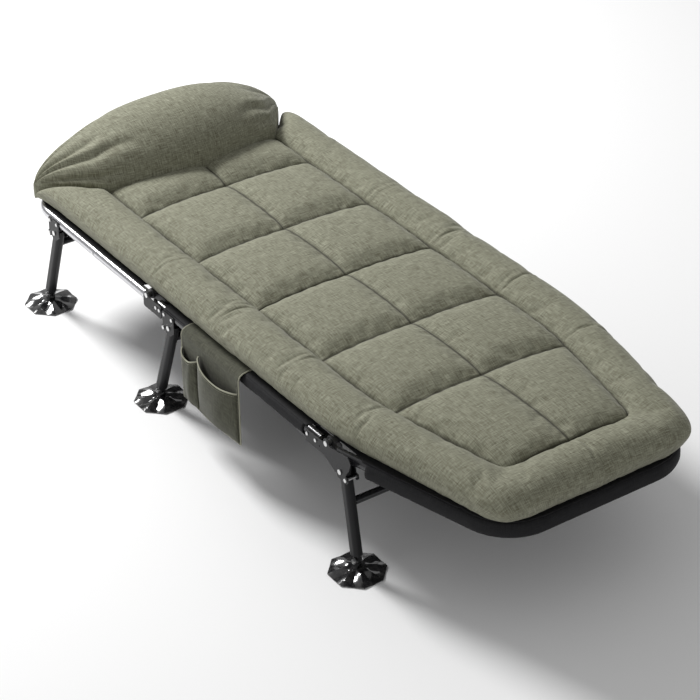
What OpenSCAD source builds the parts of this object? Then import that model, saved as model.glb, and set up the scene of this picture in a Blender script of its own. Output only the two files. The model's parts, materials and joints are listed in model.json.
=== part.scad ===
// Folding cot with a quilted mattress: three hinged frame sections, six folding
// legs with swivelling mud feet, a fabric sling and a side pocket.
// +X points to the foot end, +Y to the sleeper's left, +Z up.
// The origin is on the ground, under the middle of the bed.

/* [Frame] */
// Overall length of the bed, from head to foot
bed_l = 1898; // [1750:1:2280]
// Width between the centre lines of the two side rails
frame_w = 752; // [620:1:905]
// Height of the side rails' centre line above the ground
rail_h = 287; // [235:1:345]
// Outer diameter of the frame tubes
rail_d = 25; // [20:0.5:30]
// Wall of every tube
tube_wall = 1.5; // [1:0.1:3]
// Distance from the head end to the head hinge
head_l = 627; // [520:1:750]
// Distance from the foot end to the foot hinge
foot_l = 499; // [410:1:590]
// How far the bedding stands past the head end tube's centre
head_overhang = 24; // [18:1:40]
// How far the mattress stands past the foot end tube's centre
foot_overhang = 19; // [16:1:40]
// Bend radius of the head corners, on the tube's centre line
head_bend_r = 90; // [60:1:130]
// Bend radius of the foot corners, on the tube's centre line
foot_bend_r = 120; // [80:1:150]
// Angle by which each side of the foot section tapers inward
foot_taper = 15.2; // [6:0.1:18]
// Distance from the foot pivots to the ends of the foot rails
foot_rail_gap = 26; // [25:0.5:32]
// Distance from the head end to the joint of the head bow and its rails
bow_joint = 334; // [240:1:400]
// Depth that the swaged ends of the head bow reach into the rails
bow_swage = 45; // [30:1:70]
// Diameter of the two cross bars of the middle section
cross_bar_d = 19; // [14:0.5:22]

/* [Fold hinges] */
// Height of the hinge pivots above the rails' centre line
pivot_rise = 15; // [13:0.5:20]
// Thickness of the stamped hinge and bracket plates
plate_t = 2.5; // [1.5:0.1:4]
// Thickness of the ratchet tongue between the plates
tongue_t = 6; // [4:0.5:10]
// Radius of the tongue's round head, to the tips of its teeth
tooth_r = 15; // [13:0.5:18]
// Depth of the ratchet teeth
tooth_h = 2.2; // [1:0.1:3]
// Number of ratchet teeth
tooth_n = 5; // [3:1:7]
// Diameter of the hinge pins
hinge_pin_d = 8; // [6:0.5:10]
// Distance from the pivot to the end of the fixed rail
fixed_rail_gap = 36; // [34:0.5:45]
// Distance from the head pivots to the ends of the head rails
head_rail_gap = 19; // [17:0.5:24]
// Length of the tongue's root inside its tube
tongue_root = 26; // [24:1:27]
// Reach of the head hinge plates along the fixed rail
head_plate_back = 66; // [64:1:90]
// Reach of the foot hinge plates along the fixed rail
foot_plate_back = 83; // [60:1:120]
// Reach of the foot hinge plates past the pivot, over the foot legs
foot_plate_front = 94; // [84:1:120]

/* [Legs] */
// Width of the leg tubes, across the direction they fold
leg_t = 24; // [18:0.5:25]
// Depth of the leg tubes, along the bed
leg_w = 30; // [22:0.5:34]
// Radius of the leg tubes' rounded corners
leg_r = 10; // [4:0.5:11]
// Drop of the leg pivots below the rails' centre line
leg_drop = 31; // [30:0.5:40]
// Lean of the head and middle legs towards the head
lean_head = 19; // [10:0.5:22]
// Lean of the foot legs towards the foot
lean_foot = 11.5; // [8:0.5:20]
// Distance from the head end to the head legs' pivots
head_leg_in = 162; // [150:1:190]
// Distance from the head hinge to the middle legs' pivots
mid_leg_in = 98; // [92:1:130]
// Distance from the foot hinge to the foot legs' pivots
foot_leg_out = 54; // [50:1:60]
// Diameter of the leg pivots and stop pins
leg_pin_d = 8; // [6:0.5:10]
// Diameter of the cross bars that join each pair of legs
leg_bar_d = 20; // [14:0.5:22]
// Distance of the head and middle legs' cross bars below their pivots
upper_bar_drop = 44; // [40:1:90]
// Distance of the foot legs' cross bar below their pivots
lower_bar_drop = 83; // [50:1:120]

/* [Mud feet] */
// Radius of the eight-sided foot plates, to their corners
foot_r = 70; // [50:1:72]
// Thickness of the pressed foot plates
foot_t = 3; // [2:0.1:4]
// Height of the foot plates' raised middle
foot_crown = 14; // [8:0.5:18]
// Height of the swivel bolts above the ground
swivel_h = 30; // [28:0.5:40]
// Radius of the round eye at each leg's lower end
eye_r = 10; // [8:0.5:12]
// Thickness of that eye
eye_t = 8; // [5:0.5:12]
// Diameter of the swivel bolts
foot_bolt_d = 6; // [4:0.5:8]

/* [Bedding] */
// Thickness of the mattress
mattress_t = 70; // [40:1:85]
// How far the mattress stands past the rails' centre lines
mattress_over = 16; // [10:1:30]
// Thickness of the sling fabric
sling_t = 1.6; // [1:0.1:3]
// Depth of the pillow, along the bed
pillow_l = 244; // [180:1:300]
// Height of the pillow above the sling
pillow_h = 243; // [120:1:260]

/* [Side pocket] */
// Width of the pocket panel
pocket_w = 251; // [180:1:300]
// Distance from the head hinge to the panel's edge
pocket_in = 177; // [170:1:260]
// Height of the panel
pocket_h = 196; // [140:1:225]
// Thickness of the pocket fabric
pocket_t = 2; // [1:0.1:3]
// Width of the narrow pocket
small_w = 70; // [50:1:90]
// Depth of the narrow pocket
small_depth = 20; // [12:0.5:24]
// Depth of the wide pocket
large_depth = 25; // [12:0.5:28]
// Height of the pockets' mouths above the panel's lower edge
mouth_h = 138; // [90:1:150]

/* [Hidden] */
fit = 0.3;        // gap between parts that are fixed together
run = 0.05;       // radial clearance of a pin that turns in its bore
free = 2;         // gap between parts that swing past each other
fn = 64;
rail_r = rail_d / 2;
rail_y = frame_w / 2;
head_x = -bed_l / 2;
foot_x = bed_l / 2;
head_pivot_x = head_x + head_l;
foot_pivot_x = foot_x - foot_l;
pivot_z = rail_h + pivot_rise;
head_tube_x = head_x + head_overhang;
foot_tube_x = foot_x - foot_overhang;
bow_x = head_x + bow_joint;
rail_start_x = foot_pivot_x + foot_rail_gap;
plate_in = rail_r + fit;              // plate's inner face, from the rail's centre
plate_out = plate_in + plate_t;
plate_top_r = 12;                     // rounding of a hinge plate above its pivot
plate_low = -22;                      // a hinge plate's lower edge, from the rail's centre
rivet_d = 5;
rivet_head_d = 9;
rivet_head_t = 1.8;
pin_head_d = 13;
pin_head_t = 2.5;
leg_z = rail_h - leg_drop;
head_leg_x = head_x + head_leg_in;
mid_leg_x = head_pivot_x + mid_leg_in;
foot_leg_x = foot_pivot_x + foot_leg_out;
leg_top = 8;                          // leg tube above its pivot
bracket_r = 20;                       // rounding of a leg plate round its pivot
bracket_back = 27;                    // reach of a leg plate on its stop side
bracket_front = 24;                   // reach of a leg plate on its other side
bracket_top = 8;                      // top of a leg plate above the rail's centre
stop_down = 15;                       // stop pin's place down the leg
sling_z = rail_h + rail_r + fit;
pad_z = sling_z + sling_t + 0.6;
pad_top = pad_z + mattress_t;
pad_y = rail_y + mattress_over;
pad_gap = 6;                          // gap between a hinge line and each pad
sling_gap = 9;
sling_y = rail_y + 9;
panel_x = head_pivot_x + pocket_in;
panel_y = -(rail_y + plate_out + 12);
panel_top = sling_z + sling_t + fit;

// ---------- shared shapes ----------

// A round bar along X or Y, from end to end
module bar_x(x0, x1, d) {
    translate([x0, 0, 0]) rotate([0, 90, 0]) cylinder(d = d, h = x1 - x0, $fn = fn);
}

module bar_y(y0, y1, d) {
    translate([0, y0, 0]) rotate([-90, 0, 0]) cylinder(d = d, h = y1 - y0, $fn = fn);
}

// A flat shape in the X-Z plane, from y0 to y1
module slab(y0, y1) {
    translate([0, y1, 0]) rotate([90, 0, 0]) linear_extrude(height = y1 - y0) children();
}

// A rectangle with four rounded corners, from corner to corner
module round_rect(x0, z0, x1, z1, r) {
    translate([x0 + r, z0]) square([x1 - x0 - 2 * r, z1 - z0]);
    translate([x0, z0 + r]) square([x1 - x0, z1 - z0 - 2 * r]);
    for (x = [x0 + r, x1 - r]) for (z = [z0 + r, z1 - r])
        translate([x, z]) circle(r = r, $fn = fn);
}

// The same shape on both sides of the bed
module both_sides() {
    children();
    mirror([0, 1, 0]) children();
}

// A part given for the sleeper's left, on the side asked for
module on_side(side) {
    if (side > 0) children();
    else mirror([0, 1, 0]) children();
}

// A rivet or pin along Y with a flat head at each end
module headed_pin(y0, y1, d, head_d, head_t) {
    bar_y(y0, y1, d);
    bar_y(y0 - head_t, y0, head_d);
    bar_y(y1, y1 + head_t, head_d);
}

// ---------- frame tubes ----------

// Places of the rivets that hold a hinge's plates, from its pivot
function plate_rivets_x(back) = [-back + 8, -fixed_rail_gap - 6];
// Places of the rivets that hold a tongue in its tube, from the tube's end
root_rivets_x = [6.5, tongue_root - 6.5];
// Places of the rivets that hold a leg's plates to the rail, from the leg's pivot
bracket_rivets_x = [-18, 16];

module tube_along_x(x0, x1) {
    difference() {
        bar_x(x0, x1, rail_d);
        bar_x(x0 - 1, x1 + 1, rail_d - 2 * tube_wall);
    }
}

module rivet_holes(xs, y = 0) {
    for (x = xs) translate([x, 0, 0]) bar_y(y - rail_d, y + rail_d, rivet_d + 2 * run);
}

module mid_rail() {
    color("dimgray") translate([0, rail_y, rail_h]) difference() {
        tube_along_x(head_pivot_x + fixed_rail_gap, foot_pivot_x - fixed_rail_gap);
        rivet_holes([for (x = plate_rivets_x(head_plate_back)) head_pivot_x - x]);
        rivet_holes([for (x = plate_rivets_x(foot_plate_back)) foot_pivot_x + x]);
        rivet_holes([for (x = bracket_rivets_x) mid_leg_x + x]);
    }
}

module head_rail() {
    color("silver") translate([0, rail_y, rail_h]) difference() {
        tube_along_x(bow_x, head_pivot_x - head_rail_gap);
        rivet_holes([for (x = root_rivets_x) head_pivot_x - head_rail_gap - x]);
        rivet_holes([bow_x + bow_swage / 2]);
    }
}

// Quarter bends and straights of the head bow, with swaged ends inside the rails
module head_bow() {
    end_y = rail_y - head_bend_r;
    corner_x = head_tube_x + head_bend_r;
    color("silver") translate([0, 0, rail_h]) difference() {
        union() {
            translate([head_tube_x, 0, 0]) difference() {
                bar_y(-end_y, end_y, rail_d);
                bar_y(-end_y - 1, end_y + 1, rail_d - 2 * tube_wall);
            }
            both_sides() translate([corner_x, end_y, 0]) rotate([0, 0, 90])
                rotate_extrude(angle = 90, $fn = fn) translate([head_bend_r, 0]) tube_section(rail_d);
            both_sides() translate([0, rail_y, 0]) {
                difference() {
                    bar_x(corner_x, bow_x, rail_d);
                    bar_x(corner_x - 1, bow_x + 1, rail_d - 2 * tube_wall);
                }
                swage();
            }
        }
        both_sides() translate([0, rail_y, 0]) rivet_holes([bow_x + bow_swage / 2]);
        both_sides() translate([0, rail_y, 0]) rivet_holes([for (x = bracket_rivets_x) head_leg_x + x]);
    }
}

// The bow's narrower end, which slides into the rail
module swage() {
    swage_d = rail_d - 2 * tube_wall - 2 * fit;
    difference() {
        bar_x(bow_x - 12, bow_x + bow_swage, swage_d);
        bar_x(bow_x - 13, bow_x + bow_swage + 1, swage_d - 2 * tube_wall);
    }
    difference() {
        bar_x(bow_x - 12, bow_x - 6, rail_d - tube_wall);
        bar_x(bow_x - 13, bow_x - 5, swage_d - tube_wall);
    }
}

module tube_section(d) {
    difference() {
        circle(d = d, $fn = fn);
        circle(d = d - 2 * tube_wall, $fn = fn);
    }
}

// Where the straight tapered side of the foot bow meets its corner bend
corner_cx = foot_tube_x - foot_bend_r;
corner_start_x = corner_cx + foot_bend_r * sin(foot_taper);
corner_start_y = rail_y - (corner_start_x - rail_start_x) * tan(foot_taper);
corner_cy = corner_start_y - foot_bend_r * cos(foot_taper);
taper_len = (corner_start_x - rail_start_x) / cos(foot_taper);

// End tube of the foot section, welded to its two side rails
module foot_bow() {
    color([0.13, 0.13, 0.14]) translate([0, 0, rail_h]) {
        translate([foot_tube_x, 0, 0]) difference() {
            bar_y(-corner_cy, corner_cy, rail_d);
            bar_y(-corner_cy - 1, corner_cy + 1, rail_d - 2 * tube_wall);
        }
        both_sides() translate([corner_cx, corner_cy, 0])
            rotate_extrude(angle = 90 - foot_taper, $fn = fn)
                translate([foot_bend_r, 0]) tube_section(rail_d);
    }
}

// Side rail of the foot section, which tapers inward from its bent tongue
module foot_rail() {
    color([0.13, 0.13, 0.14]) translate([rail_start_x, rail_y, rail_h]) rotate([0, 0, -foot_taper])
        difference() {
            tube_along_x(0, taper_len);
            rivet_holes(root_rivets_x);
        }
}

// Two bars that hold the side rails apart against the pull of the sling
module mid_cross_bars() {
    z = rail_h - rail_r - cross_bar_d / 2 - 1;
    half = rail_y - plate_out - fit;
    color("dimgray") for (x = cross_bar_xs) translate([x, 0, z]) {
        difference() {
            bar_y(-half, half, cross_bar_d);
            bar_y(-half - 1, half + 1, cross_bar_d - 2 * tube_wall);
        }
        both_sides() difference() {
            saddle(half);
            bar_y(half - 61, half + 9, cross_bar_d - 1);
        }
    }
}
cross_bar_xs = [mid_leg_x + 75, foot_pivot_x - foot_plate_back - 40];

// Steel cup that hooks a cross bar to the underside of its rail
module saddle(half) {
    cup_w = cross_bar_d + 8;
    translate([-cup_w / 2, half - 10, -cross_bar_d / 2])
        cube([cup_w, rail_y - half + 10, cross_bar_d + 0.7]);
}

// ---------- fold hinges ----------

// Places a hinge's parts at one end of the left rail, with +X towards the part that folds
module at_hinge(end) {
    if (end == "head") translate([head_pivot_x, rail_y, pivot_z]) mirror([1, 0, 0]) children();
    else translate([foot_pivot_x, rail_y, pivot_z]) children();
}

// The pawl's pin, from the hinge pivot
pawl_pin = [-27, -22.5];
pawl_pin_d = 4;

module plate_bores(back) {
    circle(d = hinge_pin_d + 2 * run, $fn = fn);
    translate(pawl_pin) circle(d = pawl_pin_d + 2 * run, $fn = fn);
    for (x = plate_rivets_x(back)) translate([x, -pivot_rise]) circle(d = rivet_d + 2 * run, $fn = fn);
}

module head_plate_outline() {
    difference() {
        union() {
            round_rect(-head_plate_back, plate_low - pivot_rise, 17, -3, 6);
            circle(r = plate_top_r, $fn = fn);
            translate([-12, -16]) square([24, 16]);
        }
        plate_bores(head_plate_back);
    }
}

// The long plates also carry the foot legs; only the outer one reaches up beside the folding rail
module foot_plate_outline(outer) {
    leg_pivot = [foot_leg_out, leg_z - pivot_z];
    under_rail = -pivot_rise - rail_r - free;
    difference() {
        union() {
            round_rect(-foot_plate_back, plate_low - pivot_rise, 20, -3, 6);
            circle(r = plate_top_r, $fn = fn);
            translate([-12, -16]) square([24, 16]);
            polygon([[-10, plate_low - pivot_rise], [10, under_rail], [foot_leg_out, under_rail],
                     [foot_leg_out, leg_pivot[1] - 12], [foot_leg_out - 16, leg_pivot[1] - 12]]);
            intersection() {
                translate(leg_pivot) circle(r = bracket_r, $fn = fn);
                translate([-foot_l, under_rail - 2 * foot_l]) square(2 * foot_l);
            }
            translate(leg_pivot) stop_place(1) circle(r = leg_pin_d / 2 + 5, $fn = fn);
            if (outer) polygon([[10, -3], [foot_plate_front - 12, 9], [foot_plate_front, -4],
                                [foot_plate_front - 6, -24], [foot_leg_out + 16, leg_pivot[1] - 8],
                                [10, plate_low - pivot_rise]]);
        }
        plate_bores(foot_plate_back);
        translate(leg_pivot) circle(d = leg_pin_d + 2 * run, $fn = fn);
        translate(leg_pivot) stop_place(1) circle(d = leg_pin_d + 2 * run, $fn = fn);
    }
}

// Outer and inner plate of one hinge
module hinge_plates(end) {
    color([0.1, 0.1, 0.11]) at_hinge(end) for (y = [-plate_out, plate_in])
        slab(y, y + plate_t) {
            if (end == "head") head_plate_outline();
            else foot_plate_outline(y > 0);
        }
}

module at_all_hinges() {
    both_sides() for (end = ["head", "foot"]) at_hinge(end) children();
}

module hinge_pins() {
    color("gainsboro") at_all_hinges()
        headed_pin(-plate_out - fit, plate_out + fit, hinge_pin_d, pin_head_d, pin_head_t);
}

// Bushes that keep the tongue in the middle of its plates
module hinge_spacers() {
    half = tongue_t / 2;
    color("dimgray") at_all_hinges() for (y = [half + fit, -plate_in + fit])
        difference() {
            bar_y(y, y + plate_in - half - 2 * fit, hinge_pin_d + 8);
            bar_y(y - 1, y + plate_in, hinge_pin_d + 2 * run);
        }
}

// One tooth of the round head, as a triangle on its rim
module tooth(angle) {
    step = 14;
    rotate(angle) polygon([[0, 0], [tooth_r, 0],
        [(tooth_r - tooth_h) * cos(step), (tooth_r - tooth_h) * sin(step)]]);
}

function rail_gap(end) = end == "head" ? head_rail_gap : foot_rail_gap;

// Places a shape at the end of a folding rail, with +X into the rail
module at_root(end) {
    translate([rail_gap(end), 0, -pivot_rise])
        rotate([0, 0, end == "head" ? 0 : -foot_taper]) children();
}

// Plan of a tongue's root: a flat strip that is bent where it enters the tube
module root_plan(bend) {
    half_t = tongue_t / 2;
    mitre = half_t / cos(bend / 2) * [sin(bend / 2), cos(bend / 2)];
    side = half_t * [sin(bend), cos(bend)];
    tip = tongue_root * [cos(bend), -sin(bend)];
    polygon([[-4, half_t], mitre, tip + side, tip - side, -mitre, [-4, -half_t]]);
}

// Flat steel tongue: root in the folding tube, toothed round head on the pin
module ratchet_tongues(end) {
    half_h = rail_r - tube_wall - 1.5;
    gap = rail_gap(end);
    low = -pivot_rise - half_h;
    high = -pivot_rise + half_h;
    color("gray") both_sides() at_hinge(end) difference() {
        union() {
            slab(-tongue_t / 2, tongue_t / 2) {
                circle(r = tooth_r - tooth_h, $fn = fn);
                for (i = [0 : tooth_n - 1]) tooth(120 + i * 15);
                polygon([[0, tooth_r - tooth_h], [6, 9], [gap - 6, high], [gap - 2, high],
                         [gap - 2, low], [gap - 6, low], [2, -tooth_r + tooth_h]]);
            }
            translate([gap, 0, low]) linear_extrude(height = 2 * half_h)
                root_plan(end == "head" ? 0 : foot_taper);
        }
        bar_y(-tongue_t, tongue_t, hinge_pin_d + 2 * run);
        at_root(end) rivet_holes(root_rivets_x);
    }
}

// Countersunk flush with the tube, so that the plates pass over them
module tongue_rivets(end) {
    color("gainsboro") both_sides() at_hinge(end) at_root(end)
        for (x = root_rivets_x) translate([x, 0, 0]) bar_y(-rail_r, rail_r, rivet_d);
}

// Small lever that rides on the teeth and drops into them
module ratchet_pawls() {
    tip = (tooth_r + fit + 0.1) * [cos(225), sin(225)];
    color("silver") at_all_hinges() slab(-tongue_t / 2, tongue_t / 2) difference() {
        union() {
            translate(pawl_pin) circle(d = pawl_pin_d + 5, $fn = fn);
            polygon([pawl_pin + [-2, 3.4], tip + [-2.5, 1.5], tip, tip + [-0.5, -4], pawl_pin + [3, -3.4]]);
        }
        translate(pawl_pin) circle(d = pawl_pin_d + 2 * run, $fn = fn);
    }
}

// Bent strip of spring steel under each pawl, with the pawl's pin in its eye
module pawl_springs() {
    strip = 0.8;
    color("lightsteelblue") at_all_hinges() {
        slab(-2.5, 2.5) difference() {
            translate([-34, -34]) square([22, 9]);
            translate([-34 + strip, -34 + strip]) square([22, 9]);
        }
        translate([pawl_pin[0], 0, pawl_pin[1]])
            bar_y(-plate_in + fit, plate_in - fit, pawl_pin_d);
    }
}

// Rivets through the fixed rail, its hinge plates and its leg plates
module plate_rivets() {
    half = plate_out + fit;
    color("gainsboro") {
        both_sides() at_hinge("head") rivet_row(plate_rivets_x(head_plate_back), half);
        both_sides() at_hinge("foot") rivet_row(plate_rivets_x(foot_plate_back), half);
        both_sides() translate([mid_leg_x, rail_y, pivot_z]) rivet_row(bracket_rivets_x, half);
    }
}

module rivet_row(xs, half) {
    for (x = xs) translate([x, 0, -pivot_rise])
        headed_pin(-half, half, rivet_d, rivet_head_d, rivet_head_t);
}

// Rivets of the head bow: its joints with the rails, and the head legs' plates
module bow_rivets() {
    color("gainsboro") both_sides() translate([0, rail_y, rail_h]) {
        translate([bow_x + bow_swage / 2, 0, 0])
            headed_pin(-rail_r - fit, rail_r + fit, rivet_d, rivet_head_d - 1, 1);
        translate([head_leg_x, 0, pivot_rise]) rivet_row(bracket_rivets_x, plate_out + fit);
    }
}

// ---------- legs ----------

// Puts a shape at the stop pin's place beside an open leg; dir 1 leans to the foot
module stop_place(dir) {
    lean = dir > 0 ? lean_foot : lean_head;
    along = [dir * sin(lean), -cos(lean)];
    out = [dir * cos(lean), sin(lean)];
    translate(stop_down * along + (leg_w / 2 + leg_pin_d / 2 + fit) * out) children();
}

// Side plate that hangs a leg from its rail, with its stop side towards the head
module bracket_outline() {
    difference() {
        union() {
            round_rect(-bracket_back, -8, bracket_front, leg_drop + bracket_top, 5);
            circle(r = bracket_r, $fn = fn);
            stop_place(-1) circle(r = leg_pin_d / 2 + 5, $fn = fn);
            translate([-bracket_back, -14]) square([14, 20]);
        }
        circle(d = leg_pin_d + 2 * run, $fn = fn);
        stop_place(-1) circle(d = leg_pin_d + 2 * run, $fn = fn);
        for (x = bracket_rivets_x) translate([x, leg_drop]) circle(d = rivet_d + 2 * run, $fn = fn);
    }
}

module leg_brackets(x) {
    color([0.12, 0.12, 0.13]) both_sides() translate([x, rail_y, leg_z])
        for (y = [-plate_out, plate_in]) slab(y, y + plate_t) bracket_outline();
}

// Pivot pin, stop pin and rubber bumper of each leg of a pair
module leg_pins(x, dir) {
    half = plate_out + fit;
    color("gainsboro") both_sides() translate([x, rail_y, leg_z]) {
        headed_pin(-half, half, leg_pin_d, pin_head_d, pin_head_t);
        stop_at = dir > 0 ? lean_foot : lean_head;
        translate([dir * (stop_down * sin(stop_at) + (leg_w / 2 + leg_pin_d / 2 + fit) * cos(stop_at)), 0,
                   -stop_down * cos(stop_at) + (leg_w / 2 + leg_pin_d / 2 + fit) * sin(stop_at)])
            headed_pin(-half, half, leg_pin_d, pin_head_d - 3, pin_head_t);
    }
}

module leg_section(w, t, r) {
    round_rect(-w / 2, -t / 2, w / 2, t / 2, r);
}

// Distance between a leg's pivot and its swivel bolt
function leg_len(lean) = (leg_z - swivel_h) / cos(lean);

// One leg on the left side: oval tube, plug and flat eye; dir 1 leans to the foot
module leg(x, dir) {
    lean = dir > 0 ? lean_foot : lean_head;
    len = leg_len(lean);
    plug = 16;
    color([0.2, 0.2, 0.21]) translate([x, rail_y, leg_z]) rotate([0, -dir * lean, 0]) {
        difference() {
            translate([0, 0, -len + plug]) linear_extrude(height = len - plug + leg_top)
                leg_section(leg_w, leg_t, leg_r);
            translate([0, 0, -len + plug + 6]) linear_extrude(height = len + leg_top)
                leg_section(leg_w - 2 * tube_wall, leg_t - 2 * tube_wall, leg_r - tube_wall);
            bar_y(-leg_t, leg_t, leg_pin_d + 2 * run);
        }
        translate([0, 0, -len]) slab(-eye_t / 2, eye_t / 2) difference() {
            union() {
                circle(r = eye_r, $fn = fn);
                translate([-eye_r, 0]) square([2 * eye_r, plug + 1]);
            }
            circle(d = foot_bolt_d + 2 * run, $fn = fn);
        }
    }
}

// Round bar welded between the two legs of a pair
module leg_bar(x, dir, drop) {
    lean = dir > 0 ? lean_foot : lean_head;
    half = rail_y - leg_t / 2;
    color([0.12, 0.12, 0.13]) translate([x + dir * drop * sin(lean), 0, leg_z - drop * cos(lean)])
        difference() {
            bar_y(-half, half, leg_bar_d);
            bar_y(-half - 1, half + 1, leg_bar_d - 2 * tube_wall);
        }
}

// ---------- mud feet ----------

// Where a leg's swivel bolt is, along the bed
function swivel_x(x, dir) = x + dir * (leg_z - swivel_h) * tan(dir > 0 ? lean_foot : lean_head);

// Pressed eight-sided dish with a hub of two ears
module mud_foot(x, dir) {
    hub_r = 18;
    base_z = foot_crown + foot_t;
    dish_r = foot_r * cos(22.5) - 4;
    ear_in = eye_t / 2 + fit;
    ear_t = 4;
    color([0.08, 0.08, 0.09]) translate([swivel_x(x, dir), rail_y, 0]) {
        difference() {
            union() {
                rotate([0, 0, 22.5]) cylinder(r = foot_r, h = foot_t, $fn = 8);
                translate([0, 0, foot_t - 0.5])
                    cylinder(r1 = dish_r, r2 = hub_r, h = foot_crown - foot_t + 0.5, $fn = fn);
            }
            translate([0, 0, -foot_t])
                cylinder(r1 = dish_r, r2 = hub_r - foot_t, h = foot_crown, $fn = fn);
        }
        translate([0, 0, foot_crown - foot_t - 1]) cylinder(r = hub_r, h = foot_t + 2, $fn = fn);
        for (y = [ear_in, -ear_in - ear_t]) translate([0, 0, swivel_h]) slab(y, y + ear_t) difference() {
            union() {
                circle(r = eye_r, $fn = fn);
                translate([-eye_r, foot_crown - swivel_h]) square([2 * eye_r, swivel_h - foot_crown]);
            }
            circle(d = foot_bolt_d + 2 * run, $fn = fn);
        }
    }
}

module foot_bolt(x, dir) {
    half = eye_t / 2 + fit + 4 + fit;
    color("gainsboro") translate([swivel_x(x, dir), rail_y, swivel_h]) {
        bar_y(-half, half, foot_bolt_d);
        bar_y(half, half + 4, foot_bolt_d * 2);
        translate([0, -half, 0]) rotate([90, 0, 0]) cylinder(d = foot_bolt_d * 2, h = 4, $fn = 6);
    }
}

// ---------- sling and bedding ----------

// The sling's plan between two places along the bed, narrowed beside the hinge plates
module sling_strip(x0, x1, notches) {
    inner_y = rail_y - plate_out - free;
    difference() {
        translate([x0, -sling_y]) square([x1 - x0, 2 * sling_y]);
        for (n = notches) for (s = [-1, 1])
            translate([n[0], s > 0 ? inner_y : -inner_y - 100]) square([n[1] - n[0], 100]);
    }
}

module mid_sling() {
    notches = [[head_pivot_x - 50, head_pivot_x + head_plate_back + 5],
               [foot_pivot_x - foot_plate_back - 5, foot_pivot_x + 50]];
    color([0.09, 0.09, 0.1]) translate([0, 0, sling_z]) linear_extrude(height = sling_t)
        sling_strip(head_pivot_x + sling_gap, foot_pivot_x - sling_gap, notches);
}

module head_sling() {
    color([0.09, 0.09, 0.1]) translate([0, 0, sling_z]) linear_extrude(height = sling_t) intersection() {
        sling_strip(head_tube_x, head_pivot_x - sling_gap, [[head_pivot_x - 22, head_pivot_x]]);
        union() {
            translate([head_tube_x + head_bend_r, -rail_y - 50]) square([bed_l, 2 * rail_y + 100]);
            translate([head_tube_x, -rail_y + head_bend_r]) square([bed_l, 2 * (rail_y - head_bend_r)]);
            for (s = [-1, 1]) translate([head_tube_x + head_bend_r, s * (rail_y - head_bend_r)])
                circle(r = head_bend_r, $fn = fn);
        }
    }
}

// Plan of the tapered foot end, at a distance outside the bow's centre line
module foot_plan(x0, out) {
    r = foot_bend_r + out;
    sy = corner_cy + r * cos(foot_taper);
    sx = corner_cx + r * sin(foot_taper);
    bend_y = rail_y + out;
    bend_x = sx - (bend_y - sy) / tan(foot_taper);
    union() {
        polygon([[x0, -bend_y], [bend_x, -bend_y], [sx, -sy], [corner_cx, -corner_cy],
                 [corner_cx, corner_cy], [sx, sy], [bend_x, bend_y], [x0, bend_y]]);
        for (s = [-1, 1]) translate([corner_cx, s * corner_cy]) circle(r = r, $fn = fn);
        translate([corner_cx - 1, -corner_cy]) square([r + 1, 2 * corner_cy]);
    }
}

module foot_sling() {
    inner_y = rail_y - plate_out - free;
    front = foot_pivot_x + foot_plate_front + 6;
    color([0.09, 0.09, 0.1]) translate([0, 0, sling_z]) linear_extrude(height = sling_t) difference() {
        foot_plan(foot_pivot_x + sling_gap, 9);
        for (s = [-1, 1]) translate([0, s > 0 ? inner_y : -inner_y - 100])
            square([front, 100]);
    }
}

// Cross-section of the mattress, in the Y-Z plane
module mattress_section() {
    under = rail_y - 31;
    polygon([[-under, pad_z], [under, pad_z], [pad_y - 2, pad_z + 30], [pad_y, pad_z + 44],
             [pad_y - 16, pad_top - 5], [pad_y - 70, pad_top], [-pad_y + 70, pad_top],
             [-pad_y + 16, pad_top - 5], [-pad_y, pad_z + 44], [-pad_y + 2, pad_z + 30]]);
}

module mattress_bar(x0, x1) {
    translate([x0, 0, 0]) rotate([90, 0, 90]) linear_extrude(height = x1 - x0) mattress_section();
}

module mid_pad() {
    color("darkkhaki") mattress_bar(head_pivot_x + pad_gap, foot_pivot_x - pad_gap);
}

module head_pad() {
    color("darkkhaki") mattress_bar(head_x + pillow_l + fit, head_pivot_x - pad_gap);
}

module foot_pad() {
    color("darkkhaki") intersection() {
        mattress_bar(foot_pivot_x + pad_gap, foot_x);
        translate([0, 0, pad_z - 1]) linear_extrude(height = mattress_t + 2)
            foot_plan(foot_pivot_x, foot_overhang);
    }
}

// Thick bolster, tallest in the middle and thin at both corners
module pillow() {
    corner_r = 34;
    crown_r = min(100, pillow_h * 0.42, pillow_l * 0.42);
    far_y = pad_y - corner_r;
    color("darkkhaki") hull() {
        for (y = [-70, 70]) translate([head_x + crown_r + 4, y, pad_z + pillow_h - crown_r])
            sphere(r = crown_r, $fn = 32);
        for (y = [-far_y, far_y]) {
            translate([head_x + corner_r + 30, y, pad_z + corner_r]) sphere(r = corner_r, $fn = 32);
            translate([head_x + pillow_l - corner_r - 2, y, pad_z + corner_r])
                sphere(r = corner_r, $fn = 32);
        }
        for (y = [-90, 90]) translate([head_x + corner_r, y, pad_z + corner_r])
            sphere(r = corner_r, $fn = 32);
    }
}

// ---------- side pocket ----------

// Hanging panel, with a strip that runs over the right rail under the mattress
module pocket_panel() {
    color([0.36, 0.36, 0.27]) {
        translate([panel_x, panel_y, panel_top - pocket_h]) cube([pocket_w, pocket_t, pocket_h + pocket_t]);
        translate([panel_x, panel_y, panel_top])
            cube([pocket_w, -panel_y - (rail_y - 24), pocket_t]);
    }
}

// Open-topped pocket on the panel's outer face
module pocket_shell(x0, w, depth, h) {
    z0 = panel_top - pocket_h;
    difference() {
        translate([x0, panel_y - depth, z0]) cube([w, depth, h]);
        translate([x0 + pocket_t, panel_y - depth + pocket_t, z0 + pocket_t])
            cube([w - 2 * pocket_t, depth, h]);
    }
}

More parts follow.
